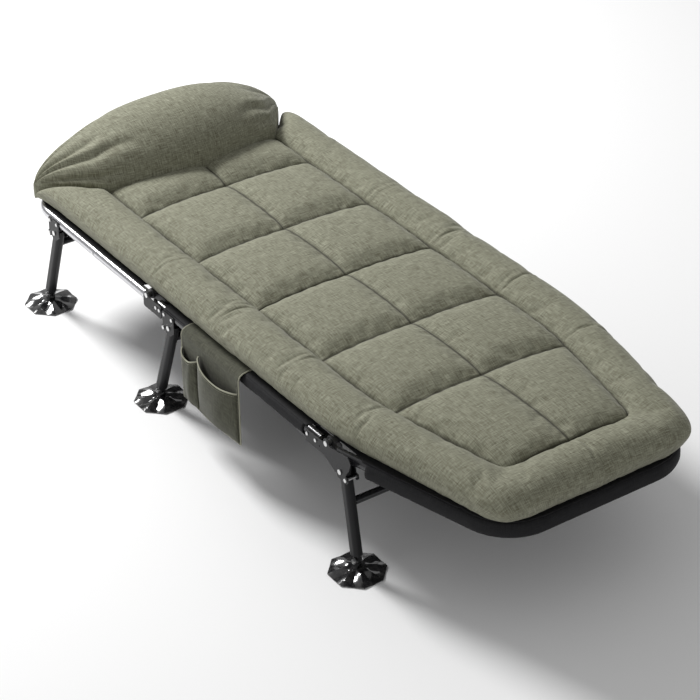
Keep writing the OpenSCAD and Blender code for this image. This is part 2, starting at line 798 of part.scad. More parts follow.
module small_pocket() {
    color([0.33, 0.33, 0.25]) pocket_shell(panel_x + 4, small_w, small_depth, mouth_h);
}

module large_pocket() {
    x0 = panel_x + 4 + small_w + 5;
    color([0.33, 0.33, 0.25]) pocket_shell(x0, panel_x + pocket_w - 4 - x0, large_depth, mouth_h);
}

// ---------- nodes ----------

on_side(1) mid_rail();  // mid_rail_left
on_side(-1) mid_rail();  // mid_rail_right
mid_cross_bars();
mid_sling();
mid_pad();
on_side(1) hinge_plates("head");  // head_hinge_plates_left
on_side(-1) hinge_plates("head");  // head_hinge_plates_right
on_side(1) hinge_plates("foot");  // foot_hinge_plates_left
on_side(-1) hinge_plates("foot");  // foot_hinge_plates_right
hinge_pins();
hinge_spacers();
ratchet_pawls();
pawl_springs();
plate_rivets();
leg_brackets(mid_leg_x);  // mid_leg_brackets
leg_pins(mid_leg_x, -1);  // mid_leg_pins
leg_pins(foot_leg_x, 1);  // foot_leg_pins
pocket_panel();
small_pocket();
large_pocket();
on_side(1) head_rail();  // head_rail_left
on_side(-1) head_rail();  // head_rail_right
head_bow();
bow_rivets();
head_sling();
head_pad();
pillow();
ratchet_tongues("head");  // head_ratchet_tongues
tongue_rivets("head");  // head_tongue_rivets
leg_brackets(head_leg_x);  // head_leg_brackets
leg_pins(head_leg_x, -1);  // head_leg_pins
on_side(1) foot_rail();  // foot_rail_left
on_side(-1) foot_rail();  // foot_rail_right
foot_bow();
foot_sling();
foot_pad();
ratchet_tongues("foot");  // foot_ratchet_tongues
tongue_rivets("foot");  // foot_tongue_rivets
on_side(1) leg(head_leg_x, -1);  // head_leg_left
on_side(-1) leg(head_leg_x, -1);  // head_leg_right
leg_bar(head_leg_x, -1, upper_bar_drop);  // head_leg_bar
on_side(1) leg(mid_leg_x, -1);  // mid_leg_left
on_side(-1) leg(mid_leg_x, -1);  // mid_leg_right
leg_bar(mid_leg_x, -1, upper_bar_drop);  // mid_leg_bar
on_side(1) leg(foot_leg_x, 1);  // foot_leg_left
on_side(-1) leg(foot_leg_x, 1);  // foot_leg_right
leg_bar(foot_leg_x, 1, lower_bar_drop);  // foot_leg_bar
on_side(1) mud_foot(head_leg_x, -1);  // head_mud_foot_left
on_side(-1) mud_foot(head_leg_x, -1);  // head_mud_foot_right
on_side(1) mud_foot(mid_leg_x, -1);  // mid_mud_foot_left
on_side(-1) mud_foot(mid_leg_x, -1);  // mid_mud_foot_right
on_side(1) mud_foot(foot_leg_x, 1);  // foot_mud_foot_left
on_side(-1) mud_foot(foot_leg_x, 1);  // foot_mud_foot_right
on_side(1) foot_bolt(head_leg_x, -1);  // head_foot_bolt_left
on_side(-1) foot_bolt(head_leg_x, -1);  // head_foot_bolt_right
on_side(1) foot_bolt(mid_leg_x, -1);  // mid_foot_bolt_left
on_side(-1) foot_bolt(mid_leg_x, -1);  // mid_foot_bolt_right
on_side(1) foot_bolt(foot_leg_x, 1);  // foot_foot_bolt_left
on_side(-1) foot_bolt(foot_leg_x, 1);  // foot_foot_bolt_right
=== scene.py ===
import json
import math

import bmesh
import bpy
import numpy as np
from mathutils import Matrix, Vector, noise


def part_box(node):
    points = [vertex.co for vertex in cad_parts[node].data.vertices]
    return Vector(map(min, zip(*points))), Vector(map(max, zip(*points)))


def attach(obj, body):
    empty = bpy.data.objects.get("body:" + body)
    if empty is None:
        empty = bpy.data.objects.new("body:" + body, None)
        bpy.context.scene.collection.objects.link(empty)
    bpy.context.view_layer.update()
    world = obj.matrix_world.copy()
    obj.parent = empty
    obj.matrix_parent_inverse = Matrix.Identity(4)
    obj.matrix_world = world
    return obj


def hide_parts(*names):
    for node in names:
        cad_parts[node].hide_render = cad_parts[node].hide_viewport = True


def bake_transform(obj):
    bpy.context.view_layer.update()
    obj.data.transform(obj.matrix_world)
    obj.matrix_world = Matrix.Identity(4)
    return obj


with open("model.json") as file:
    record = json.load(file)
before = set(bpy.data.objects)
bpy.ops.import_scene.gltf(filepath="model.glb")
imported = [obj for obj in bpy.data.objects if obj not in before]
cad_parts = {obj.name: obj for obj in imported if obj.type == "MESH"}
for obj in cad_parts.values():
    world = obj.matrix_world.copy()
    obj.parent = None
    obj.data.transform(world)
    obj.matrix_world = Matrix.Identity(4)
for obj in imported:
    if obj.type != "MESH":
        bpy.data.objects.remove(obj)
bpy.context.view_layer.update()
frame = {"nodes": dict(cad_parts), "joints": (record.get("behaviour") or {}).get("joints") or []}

# ---------------------------------------------------------------- studio
# A pale seamless floor with one large soft lamp over the head end and a weak
# one at the near side. The camera looks down on the bed from the foot end.

AIM = Vector((0.181, -0.137, 0.3135))
CAMERA_AZIMUTH = math.radians(54.89)
CAMERA_ELEVATION = math.radians(32.92)
CAMERA_DISTANCE = 5.8185
CAMERA_LENS_MM = 127.1

scene = bpy.context.scene
scene.view_settings.view_transform = "Standard"

towards_camera = Vector((
    math.sin(CAMERA_AZIMUTH) * math.cos(CAMERA_ELEVATION),
    -math.cos(CAMERA_AZIMUTH) * math.cos(CAMERA_ELEVATION),
    math.sin(CAMERA_ELEVATION),
))
camera = bpy.data.objects.new("camera", bpy.data.cameras.new("camera"))
camera.data.lens = CAMERA_LENS_MM
camera.location = AIM + CAMERA_DISTANCE * towards_camera
camera.rotation_euler = (-towards_camera).to_track_quat("-Z", "Y").to_euler()
scene.collection.objects.link(camera)
scene.camera = camera


def soft_lamp(name, place, size, watts, colour=(1, 1, 1)):
    lamp = bpy.data.objects.new(name, bpy.data.lights.new(name, "AREA"))
    lamp.data.shape = "DISK"
    lamp.data.size = size
    lamp.data.energy = watts
    lamp.data.color = colour
    lamp.location = place
    lamp.rotation_euler = (Vector(place) - AIM).to_track_quat("Z", "Y").to_euler()
    scene.collection.objects.link(lamp)


soft_lamp("key_lamp", (-4.1, -1.0, 3.9), 1.7, 345)
soft_lamp("side_lamp", (0.6, -3.4, 1.9), 2.4, 7)

world = bpy.data.worlds.new("studio_air")
world.use_nodes = True
world.node_tree.nodes["Background"].inputs["Color"].default_value = (1, 1, 1, 1)
world.node_tree.nodes["Background"].inputs["Strength"].default_value = 0.43
scene.world = world


def new_material(name, roughness=0.5, **sockets):
    material = bpy.data.materials.new(name)
    material.use_nodes = True
    shader = material.node_tree.nodes["Principled BSDF"]
    shader.inputs["Roughness"].default_value = roughness
    for socket, value in sockets.items():
        shader.inputs[socket.replace("_", " ")].default_value = value
    return material, material.node_tree, shader


def node(tree, kind, **settings):
    made = tree.nodes.new(kind)
    for key, value in settings.items():
        if key.startswith("in_"):
            made.inputs[int(key[3:])].default_value = value
        else:
            setattr(made, key, value)
    return made


def add_mesh(name, points, faces, material, uvs=None, smooth=True):
    mesh = bpy.data.meshes.new(name)
    mesh.from_pydata([tuple(p) for p in points], [], faces)
    if uvs is not None:
        layer = mesh.uv_layers.new(name="cloth")
        corner = np.zeros(len(mesh.loops), np.int32)
        mesh.loops.foreach_get("vertex_index", corner)
        layer.data.foreach_set("uv", np.asarray(uvs, np.float32)[corner].ravel())
    mesh.polygons.foreach_set("use_smooth", [smooth] * len(mesh.polygons))
    mesh.materials.append(material)
    made = bpy.data.objects.new(name, mesh)
    scene.collection.objects.link(made)
    return made


def plain_mesh(piece):
    """What a piece's modifiers make of it, as a mesh of its own."""
    graph = bpy.context.evaluated_depsgraph_get()
    return bpy.data.meshes.new_from_object(
        piece.evaluated_get(graph), preserve_all_data_layers=True, depsgraph=graph)


def outward(piece):
    """Turns every face of a closed piece outwards."""
    bm = bmesh.new()
    bm.from_mesh(piece.data)
    bmesh.ops.recalc_face_normals(bm, faces=bm.faces)
    bm.to_mesh(piece.data)
    bm.free()
    return piece


FLOOR_HALF = 14.0
floor_paint, _, floor_shader = new_material("floor_paint", 0.9)
floor_shader.inputs["Base Color"].default_value = (0.90, 0.90, 0.90, 1)
floor = add_mesh(
    "floor",
    [(-FLOOR_HALF, -FLOOR_HALF, 0), (FLOOR_HALF, -FLOOR_HALF, 0),
     (FLOOR_HALF, FLOOR_HALF, 0), (-FLOOR_HALF, FLOOR_HALF, 0)],
    [(0, 1, 2, 3)], floor_paint)

# ---------------------------------------------------------------- quilted cloth
# The cover cloth is a linen-look polyester: thick and thin threads cross each
# other, so streaks a few centimetres long run both ways over a fine weave.


def new_group(name, inputs, outputs):
    tree = bpy.data.node_groups.new(name, "ShaderNodeTree")
    for label, kind, value in inputs:
        socket = tree.interface.new_socket(label, in_out="INPUT", socket_type=kind)
        if value is not None:
            socket.default_value = value
    for label, kind in outputs:
        tree.interface.new_socket(label, in_out="OUTPUT", socket_type=kind)
    return tree, tree.nodes.new("NodeGroupInput"), tree.nodes.new("NodeGroupOutput")


def link(tree, source, output, target, socket):
    tree.links.new(source.outputs[output], target.inputs[socket])


def wire(tree, *rows):
    """Several links at once: source node, its output, target node, its socket."""
    for row in rows:
        link(tree, *row)


def streaks(tree, cloth, along, across, shift):
    """Noise drawn out along one set of threads."""
    stretch = node(tree, "ShaderNodeVectorMath", operation="MULTIPLY_ADD",
                   in_1=(along, across, 1), in_2=(shift, shift, shift))
    blur = node(tree, "ShaderNodeTexNoise")
    blur.inputs["Scale"].default_value = 1
    blur.inputs["Detail"].default_value = 2
    link(tree, cloth, "Cloth", stretch, 0)
    link(tree, stretch, 0, blur, "Vector")
    return blur


def blend_values(tree, first, second, share):
    mix = node(tree, "ShaderNodeMix", data_type="FLOAT")
    mix.inputs["Factor"].default_value = share
    tree.links.new(first, mix.inputs[2])
    tree.links.new(second, mix.inputs[3])
    return mix.outputs[0]


SLUB_LENGTH = 34      # streaks per metre along a thread
SLUB_WIDTH = 480      # streaks per metre across the threads
THREAD_LENGTH = 90
THREAD_WIDTH = 850

linen, linen_in, linen_out = new_group(
    "linen_weave",
    [("Cloth", "NodeSocketVector", None), ("Contrast", "NodeSocketFloat", 1.0)],
    [("Shade", "NodeSocketFloat"), ("Height", "NodeSocketFloat")])
slubs = blend_values(
    linen,
    streaks(linen, linen_in, SLUB_LENGTH, SLUB_WIDTH, 0).outputs["Fac"],
    streaks(linen, linen_in, SLUB_WIDTH, SLUB_LENGTH, 7).outputs["Fac"], 0.5)
threads = blend_values(
    linen,
    streaks(linen, linen_in, THREAD_LENGTH, THREAD_WIDTH, 3).outputs["Fac"],
    streaks(linen, linen_in, THREAD_WIDTH, THREAD_LENGTH, 11).outputs["Fac"], 0.5)
mottle = node(linen, "ShaderNodeTexNoise")
mottle.inputs["Scale"].default_value = 11
link(linen, linen_in, "Cloth", mottle, "Vector")
both = blend_values(linen, slubs, threads, 0.35)
woven = blend_values(linen, both, mottle.outputs["Fac"], 0.03)
centred = node(linen, "ShaderNodeMath", operation="SUBTRACT", in_1=0.5)
stronger = node(linen, "ShaderNodeMath", operation="MULTIPLY")
shade = node(linen, "ShaderNodeMath", operation="MULTIPLY_ADD", use_clamp=True, in_1=4.6, in_2=0.5)
linen.links.new(woven, centred.inputs[0])
wire(linen,
    (centred, 0, stronger, 0), (linen_in, "Contrast", stronger, 1), (stronger, 0, shade, 0),
    (shade, 0, linen_out, "Shade"))
linen.links.new(both, linen_out.inputs["Height"])


def cloth_material(name, dark, middle, light, roughness, contrast, bump_mm, **sockets):
    """Woven cloth, darkened with painted shade in the grooves of the seams sewn into the piece."""
    material, tree, shader = new_material(name, roughness, **sockets)
    spread = node(tree, "ShaderNodeUVMap", uv_map="cloth")
    weave = node(tree, "ShaderNodeGroup", node_tree=linen)
    weave.inputs["Contrast"].default_value = contrast
    dye = node(tree, "ShaderNodeValToRGB")
    dye.color_ramp.elements[0].color = (*dark, 1)
    dye.color_ramp.elements[1].color = (*light, 1)
    dye.color_ramp.elements.new(0.5).color = (*middle, 1)
    # painted shade: the cloth colour is multiplied dark in the seam grooves, where shade falls
    seam_shade = node(tree, "ShaderNodeAttribute", attribute_name="seam_shade")
    shaded = node(tree, "ShaderNodeMix", data_type="RGBA", blend_type="MULTIPLY")
    shaded.inputs[7].default_value = (0.13, 0.12, 0.09, 1)
    bump = node(tree, "ShaderNodeBump")
    bump.inputs["Strength"].default_value = 0.55
    bump.inputs["Distance"].default_value = bump_mm / 1000
    wire(tree,
        (spread, "UV", weave, "Cloth"), (weave, "Shade", dye, "Fac"),
        (seam_shade, "Fac", shaded, "Factor"))
    tree.links.new(dye.outputs["Color"], shaded.inputs[6])
    tree.links.new(shaded.outputs[2], shader.inputs["Base Color"])
    link(tree, weave, "Height", bump, "Height")
    link(tree, bump, "Normal", shader, "Normal")
    return material


cover_cloth = cloth_material(
    "cover_cloth", (0.096, 0.088, 0.054), (0.192, 0.192, 0.134), (0.310, 0.314, 0.234),
    0.85, 1.0, 1.6, Sheen_Weight=0.12, Sheen_Roughness=0.4)

# ---------------------------------------------------------------- mattress
# Quilted cover over wadding: two columns of cells sewn through in the middle,
# and a thick padded roll all round them. It is one cover; here it is cut at a
# cross seam into two pieces, because each can bend over one hinge only.

pad_low, pad_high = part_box("mid_pad")
head_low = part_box("head_pad")[0]
pillow_low, pillow_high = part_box("pillow")
foot_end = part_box("foot_pad")[1].x
joints = {j["name"]: j for j in frame["joints"]}
head_hinge = Vector(joints["head_fold"]["pos_m"])
foot_hinge = Vector(joints["foot_fold"]["pos_m"])

ROLL_W = 0.128                    # width of the padded roll, seam to edge
BED_Z = pad_low.z + 0.0004        # underside of the bedding
SEAM_Z = pad_high.z - 0.015       # height of the cover at the roll's seam
CROWN = 0.011                     # rise of the cross seams to the middle
ROLL_TOP = pad_high.z + 0.010
ROLL_SIDE = pad_low.z + 0.041     # height of the roll's widest place
OUTER_Y = pad_high.y - 0.006
TAPER_X = foot_hinge.x - 0.010    # where the sides begin to taper
TAPER = 0.215
PUFF = 0.019                      # rise of a cell over its seams
FOOT_SEAM_X = foot_end - ROLL_W
CELL_L = 0.2695                   # distance between cross seams
cross_seams = [FOOT_SEAM_X - 0.315 - CELL_L * k for k in range(5)][::-1]
SPLIT_X = cross_seams[2]
ROLL_HEAD_X = head_low.x - 0.190  # head end of the roll, at its outer edge
PANEL_HEAD_X = head_low.x - 0.030
ROLL_END = 0.105                  # length over which the roll closes at its head end


def soft_step(d, width):
    """Zero before the start of the taper and d after it, with a rounded corner."""
    return (d + np.sqrt(d * d + width * width)) / 2


def outer_y(x):
    return OUTER_Y - TAPER * soft_step(x - TAPER_X, 0.05)


def seam_y(x):
    return OUTER_Y - ROLL_W - TAPER * soft_step(x - TAPER_X - 0.02, 0.05)


def bezier(p0, p1, p2, p3, count):
    t = np.linspace(0, 1, count)[:, None]
    p0, p1, p2, p3 = map(np.array, (p0, p1, p2, p3))
    return ((1 - t) ** 3 * p0 + 3 * (1 - t) ** 2 * t * p1
            + 3 * (1 - t) * t ** 2 * p2 + t ** 3 * p3)


def half_outline(y_at, head_x, corner, end_x, reach):
    """Left half of a plan outline, from the head end to the middle of the foot end."""
    side_x = np.linspace(head_x, end_x - corner, 160)
    side = np.stack([side_x, y_at(side_x)], 1)
    turn = side[-1]
    stop = np.array([end_x, turn[1] - corner * reach])
    arc = bezier(turn, turn + corner * 0.62 * np.array([1, -TAPER]),
                 stop + [0, corner * reach * 0.62], stop, 24)
    end = np.stack([np.full(40, end_x), np.linspace(stop[1], 0, 40)], 1)
    line = np.vstack([side, arc[1:], end[1:]])
    length = np.r_[0, np.cumsum(np.linalg.norm(np.diff(line, axis=0), axis=1))]
    return line, length, length[len(side) - 1], length[len(side) + len(arc) - 2]


outer_line, outer_len, outer_turn, outer_stop = half_outline(
    outer_y, ROLL_HEAD_X, 0.084, foot_end - 0.0005, 1.08)
inner_line, inner_len, inner_turn, inner_stop = half_outline(
    seam_y, PANEL_HEAD_X, 0.030, FOOT_SEAM_X, 1.0)
EVEN_X = -0.42                    # from here the roll's cross-sections stand square to it
SQUARE_TO_X = TAPER_X - 0.10      # and up to here


def length_at(line, length, x):
    return float(np.interp(x, line[:160, 0], length[:160]))


match_inner = [
    0, *(length_at(inner_line, inner_len, x) for x in (EVEN_X, SQUARE_TO_X)),
    inner_turn, inner_stop, inner_len[-1]]
match_outer = [
    0, *(length_at(outer_line, outer_len, x) for x in (EVEN_X, SQUARE_TO_X)),
    outer_turn, outer_stop, outer_len[-1]]


def point_on(line, length, s):
    return np.array([np.interp(s, length, line[:, 0]), np.interp(s, length, line[:, 1])])


def spaced(n):
    """Steps from 0 to 1, drawn a little towards both ends, where the cloth curves most."""
    t = np.linspace(0, 1, n + 1)
    return 0.45 * t + 0.55 * (1 - np.cos(np.pi * t)) / 2


def roll_profile():
    """Cross-section of the roll, share of its width and height, from the seam round to below."""
    first = [(0.46 * (1 - math.cos(f)), SEAM_Z + (ROLL_TOP - SEAM_Z) * math.sin(f))
             for f in np.linspace(0, math.pi / 2, 12)]
    second = [(0.46 + 0.54 * math.sin(f), ROLL_SIDE + (ROLL_TOP - ROLL_SIDE) * math.cos(f))
              for f in np.linspace(0, math.pi / 2, 15)[1:]]
    third = [(0.82 + 0.18 * math.cos(f) ** 1.5,
              ROLL_SIDE - (ROLL_SIDE - BED_Z) * math.sin(f) ** 1.5)
             for f in np.linspace(0, math.pi / 2, 10)[1:]]
    under = [(a, BED_Z) for a in np.linspace(0.82, 0, 9)[1:]]
    return first + second + third + under


profile = roll_profile()
profile_run = np.r_[0, np.cumsum([
    math.hypot((b[0] - a[0]) * ROLL_W, b[1] - a[1]) for a, b in zip(profile, profile[1:])])]


seam_places = [length_at(outer_line, outer_len, x) for x in cross_seams]


def roll_creases(s, a, side):
    """Depth of the shallow puckers that cross the roll, strongest near its seam."""
    wander = noise.noise(Vector((s * 3.1, side * 5.0, a * 1.2)))
    wave = noise.noise(Vector((s * 17.0 + wander * 0.8, side * 9.0, a * 0.9)))
    fine = noise.noise(Vector((s * 43.0 + wander, side * 3.0 + 20, a * 1.4)))
    crease = max(0.0, 1 - abs(wave) * 8) * 0.0014 + max(0.0, 1 - abs(fine) * 6) * 0.0005
    for place in seam_places:
        for apart in (-0.011, 0.010):
            off = (s - place - apart - 0.010 * wander + 0.014 * a * a) / 0.0042
            crease += 0.0030 * math.exp(-off * off) * (1.15 - a)
    return crease * math.sin(math.pi * min(max(a, 0.02), 0.98)) ** 0.5 + 0.001 * wave


def cell_rise(u, v):
    """Height of a cell's puff, from 0 on its seams to 1 in its middle."""
    along = max(0.0, 1 - abs(2 * u - 1) ** 2.4) ** 0.50
    across = max(0.0, 1 - abs(2 * v - 1) ** 7) ** 0.42
    if v < 0.5:
        across = 0.68 + 0.32 * across
    return along * across


def build_mattress(name, seams, foot_edge):
    """One closed piece of the mattress between two cross seams, with its pinned seam points."""
    rows = []                       # (x, share through its cell, cell number)
    for cell, (x0, x1) in enumerate(zip(seams, seams[1:])):
        steps = spaced(max(6, round((x1 - x0) / 0.0078)))
        rows += [(x0 + (x1 - x0) * t, t, cell) for t in steps[(0 if cell == 0 else 1):]]
    half = spaced(31)
    shares = np.r_[-half[::-1], half[1:]]
    columns = len(shares)

    points, uvs, seam_shades, pinned = [], [], [], []

    def add(p, uv, seam_shade, pin):
        points.append(p)
        uvs.append(uv)
        seam_shades.append(seam_shade)
        pinned.append(pin)
        return len(points) - 1

    # the cells
    top = np.zeros((len(rows), columns), int)
    rims = []
    for i, (x, u, cell) in enumerate(rows):
        before_foot = x < FOOT_SEAM_X - 1e-6
        s = float(np.interp(x, inner_line[:, 0], inner_len)) if before_foot else inner_stop
        rim = point_on(inner_line, inner_len, s)
        rims.append((s, rim))
        for j, share in enumerate(shares):
            v = abs(share)
            y = share * rim[1]
            rise = cell_rise(u, v)
            seam_z = SEAM_Z + CROWN * (1 - share * share)
            seam_z += 0.0045 * math.sin(math.pi * v) + 0.002 * math.sin(math.pi * u)
            ripple = noise.noise(Vector((x * 26, y * 26, cell))) * 0.0010 * (1 - rise)
            z = seam_z - 0.0045 + PUFF * rise + ripple
            on_seam = u in (0.0, 1.0) or v in (0.0, 1.0)
            near = min(min(u, 1 - u) * CELL_L, min(v, 1 - v) * rim[1])
            # painted shade in the seam groove, darkest on the seam itself
            seam_shade = math.exp(-((near / 0.0034) ** 2))
            top[i, j] = add((x, y, z), (x, y), seam_shade, on_seam)

    # the roll round them, along the left side, the foot end and the right side
    stations = [(rims[i][0], 1, top[i, -1]) for i in range(len(rows))]
    if foot_edge:
        last = len(rows) - 1
        for j in range(columns - 2, 0, -1):
            y = points[top[last, j]][1]
            end_share = (rims[last][1][1] - abs(y)) / rims[last][1][1]
            s = inner_stop + end_share * (inner_len[-1] - inner_stop)
            stations.append((s, 1 if y >= 0 else -1, top[last, j]))
        stations += [(rims[i][0], -1, top[i, 0]) for i in reversed(range(len(rows)))]
        strips = [stations]
    else:
        back = [(rims[i][0], -1, top[i, 0]) for i in reversed(range(len(rows)))]
        strips = [stations, back]

    under = {}
    faces = []
    strip_rings = []
    for strip in strips:
        rings = []
        for s, side, seam_index in strip:
            inner = np.array(points[seam_index][:2])
            along = np.interp(s, match_inner, match_outer)
            outer = point_on(outer_line, outer_len, along) * [1, side]
            ring = [seam_index]
            for m, (a, z) in enumerate(profile[1:], 1):
                xy = inner + (outer - inner) * a
                crease = roll_creases(along, a, side) if z > ROLL_SIDE - 0.012 else 0.0
                closing = max(0.0, 1 - along / ROLL_END) if seams[0] == PANEL_HEAD_X else 0.0
                drop = (1 - math.sqrt(1 - min(closing, 0.995) ** 2)) * min(1.0, a / 0.40) ** 1.5
                z_here = BED_Z + (z - crease - BED_Z) * (1 - 0.86 * drop)
                cloth = inner + (outer - inner) / ROLL_W * profile_run[m]
                # the same painted shade along the roll's seam
                seam_shade = math.exp(-((profile_run[m] / 0.0034) ** 2))
                at_end = any(abs(points[seam_index][0] - end) < 1e-6
                             for end in (SPLIT_X, PANEL_HEAD_X))
                held = z < BED_Z + 1e-6 or at_end
                ring.append(add((*xy, z_here), tuple(cloth), seam_shade, held))
            under[seam_index] = ring[-1]
            rings.append(ring)
        strip_rings.append(rings)
        for a, b in zip(rings, rings[1:]):
            faces += [(a[m], a[m + 1], b[m + 1], b[m]) for m in range(len(profile) - 1)]

    # the flat underside
    bottom = np.zeros_like(top)
    for i in range(len(rows)):
        for j in range(columns):
            index = top[i, j]
            if index in under:
                bottom[i, j] = under[index]
            else:
                x, y, z = points[index]
                bottom[i, j] = add((x, y, BED_Z), (x, y), 0.0, True)
    for i in range(len(rows) - 1):
        for j in range(columns - 1):
            faces.append((top[i, j], top[i + 1, j], top[i + 1, j + 1], top[i, j + 1]))
            faces.append((bottom[i, j], bottom[i, j + 1], bottom[i + 1, j + 1], bottom[i + 1, j]))

    # the walls at the cut ends
    def close_end(row, left_ring, right_ring, flip):
        wall = [(top[row, j], bottom[row, j], bottom[row, j + 1], top[row, j + 1])
                for j in range(columns - 1)]
        for ring, turned in ((left_ring, False), (right_ring, True)):
            middle = np.mean([points[k] for k in ring], axis=0)
            hub = add(tuple(middle), tuple(middle[:2]), 0.0, True)
            for m in range(len(ring)):
                pair = (ring[m], ring[(m + 1) % len(ring)])
                wall.append((hub, *pair) if turned else (hub, *reversed(pair)))
        return [tuple(reversed(f)) for f in wall] if flip else wall

    first_strip, last_strip = strip_rings[0], strip_rings[-1]
    faces += close_end(0, first_strip[0], last_strip[-1], True)
    if not foot_edge:
        faces += close_end(len(rows) - 1, first_strip[-1], last_strip[0], False)

    made = add_mesh(name, points, faces, cover_cloth, uvs)
    bm = bmesh.new()
    bm.from_mesh(made.data)
    bmesh.ops.recalc_face_normals(bm, faces=bm.faces)
    crease = bm.edges.layers.float.new("crease_edge")
    for edge in bm.edges:
        walls = [all(abs(v.co.x - SPLIT_X) < 1e-4 for v in f.verts) for f in edge.link_faces]
        if any(walls) and not all(walls):
            edge[crease] = 1.0
            edge.smooth = False
    bm.to_mesh(made.data)
    bm.free()
    # painted shade along the seams, for the cloth material to darken
    attribute = made.data.attributes.new("seam_shade", "FLOAT", "POINT")
    attribute.data.foreach_set("value", np.array(seam_shades, np.float32))
    sewn = made.vertex_groups.new(name="sewn")
    sewn.add([k for k, pin in enumerate(pinned) if pin], 1.0, "REPLACE")
    return made


def swell(piece, pressure, cap, frames=20):
    """Blows the cover up a little between its sewn points, as wadding does, and keeps that."""
    start = np.array([v.co for v in piece.data.vertices])
    cloth = piece.modifiers.new("filling", "CLOTH")
    cloth.settings.quality = 5
    cloth.settings.mass = 0.25
    cloth.settings.tension_stiffness = 12
    cloth.settings.compression_stiffness = 6
    cloth.settings.shear_stiffness = 4
    cloth.settings.bending_stiffness = 0.6
    cloth.settings.use_pressure = True
    cloth.settings.uniform_pressure_force = pressure
    cloth.settings.shrink_min = -0.018
    cloth.settings.vertex_group_mass = "sewn"
    cloth.settings.effector_weights.gravity = 0
    cloth.point_cache.frame_end = frames
    for step in range(1, frames + 1):
        scene.frame_set(step)
    evaluated = piece.evaluated_get(bpy.context.evaluated_depsgraph_get())
    moved = np.array([v.co for v in evaluated.data.vertices]) - start
    far = np.linalg.norm(moved, axis=1)
    moved *= np.minimum(1, cap / np.maximum(far, 1e-9))[:, None] * [0.35, 0.35, 1.0]
    piece.modifiers.remove(cloth)
    piece.data.vertices.foreach_set("co", (start + moved).astype(np.float32).ravel())
    piece.data.update()
    scene.frame_set(1)
    print("swell", piece.name, "largest move", round(float(far.max()) * 1000, 1), "mm")


def finer(piece):
    """One level of subdivision, kept in the mesh."""
    smoothing = piece.modifiers.new("finer", "SUBSURF")
    smoothing.levels = smoothing.render_levels = 1
    mesh = plain_mesh(piece)
    piece.modifiers.remove(smoothing)
    piece.data = mesh


mattress_head = build_mattress(
    "mattress_head", [PANEL_HEAD_X, *cross_seams[:3]], False)
mattress_foot = build_mattress(
    "mattress_foot", [*cross_seams[2:], FOOT_SEAM_X], True)
for piece in (mattress_head, mattress_foot):
    swell(piece, 1.6, 0.007)
    finer(piece)
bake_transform(mattress_head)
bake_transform(mattress_foot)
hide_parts("head_pad", "mid_pad")
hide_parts("foot_pad")

# ---------------------------------------------------------------- pillow
# Bolster sewn to the head end of the mattress: full of wadding in the middle,
# pinched flat at both corners, where the cloth is gathered into pleats.

PILLOW_TOP = pillow_high.z - 0.030
PILLOW_HEAD = pillow_low.x + 0.002
PILLOW_LEAN = 0.024               # how far its crown lies towards the head
CORNER_X = ROLL_HEAD_X - 0.018
CORNER_Y = OUTER_Y - 0.006
FRONT_X = head_low.x + 0.037      # the pillow's foot side, in the middle
FRONT_SIDE_X = head_low.x - 0.026  # the same at the cells' outer edge


def pillow_front(y):
    """Plan of the pillow's foot side: bulged over the cells, slanting back to the corner."""
    w = OUTER_Y - ROLL_W
    if y < w:
        return FRONT_X - (FRONT_X - FRONT_SIDE_X) * (y / w) ** 2
    t = (y - w) / (CORNER_Y - w)
    return FRONT_SIDE_X + (CORNER_X + 0.012 - FRONT_SIDE_X) * t ** 1.15


def pillow_point(y, f):
    """A point of the pillow at width y; f turns from its foot side over the top and below."""
    t = abs(y) / CORNER_Y
    front = pillow_front(abs(y))
    back = PILLOW_HEAD + 0.030 * t ** 4 + 0.010 * t ** 12
    crown = BED_Z + 0.040 + (PILLOW_TOP - BED_Z - 0.040) * max(0.0, 1 - t ** 2.0) ** 0.74
    waist = BED_Z + 0.036 + 0.048 * (1 - t ** 2)
    middle = (front + back) / 2
    reach = (front - back) / 2
    x = middle + reach * math.copysign(abs(math.cos(f)) ** 0.92, math.cos(f))
    if f <= math.pi:
        x -= PILLOW_LEAN * math.sin(f) ** 2 * (1 - t ** 4)
        z = waist + (crown - waist) * math.sin(f) ** 0.90
    else:
        z = waist - (waist - BED_Z) * abs(math.sin(f)) ** 0.62
    return np.array([x, y, z])


pleat_turns = [0.20, 0.58, 0.98, 1.42, 1.95, 2.50]
# how far in each fold runs, as a share of the pillow's half width
pleat_reach = [0.72, 0.50, 0.38, 0.55, 0.42, 0.60]


def pleat_depth(y, f):
    """Share by which the folds that fan out of a corner draw the cloth in."""
    t, side = abs(y) / CORNER_Y, math.copysign(1, y)
    depth = 0.0
    for k, (centre, stop) in enumerate(zip(pleat_turns, pleat_reach)):
        into = (t - stop) / (1 - stop)
        if into <= 0:
            continue
        wander = 0.10 * noise.noise(Vector((t * 5, k * 3.7, side * 2.0)))
        spread = (1 - t) * (centre - 1.3) * 0.55
        off = abs(f - centre - spread - wander - 0.08 * side * math.sin(k * 2.3))
        strength = into ** 0.8 * min(1.0, (1 - t) / 0.05 + 0.35)
        depth += 0.25 * strength * math.exp(-(off / 0.10) ** 1.3)
        depth -= 0.07 * strength * math.exp(-((off - 0.20) / 0.11) ** 2)
    return depth


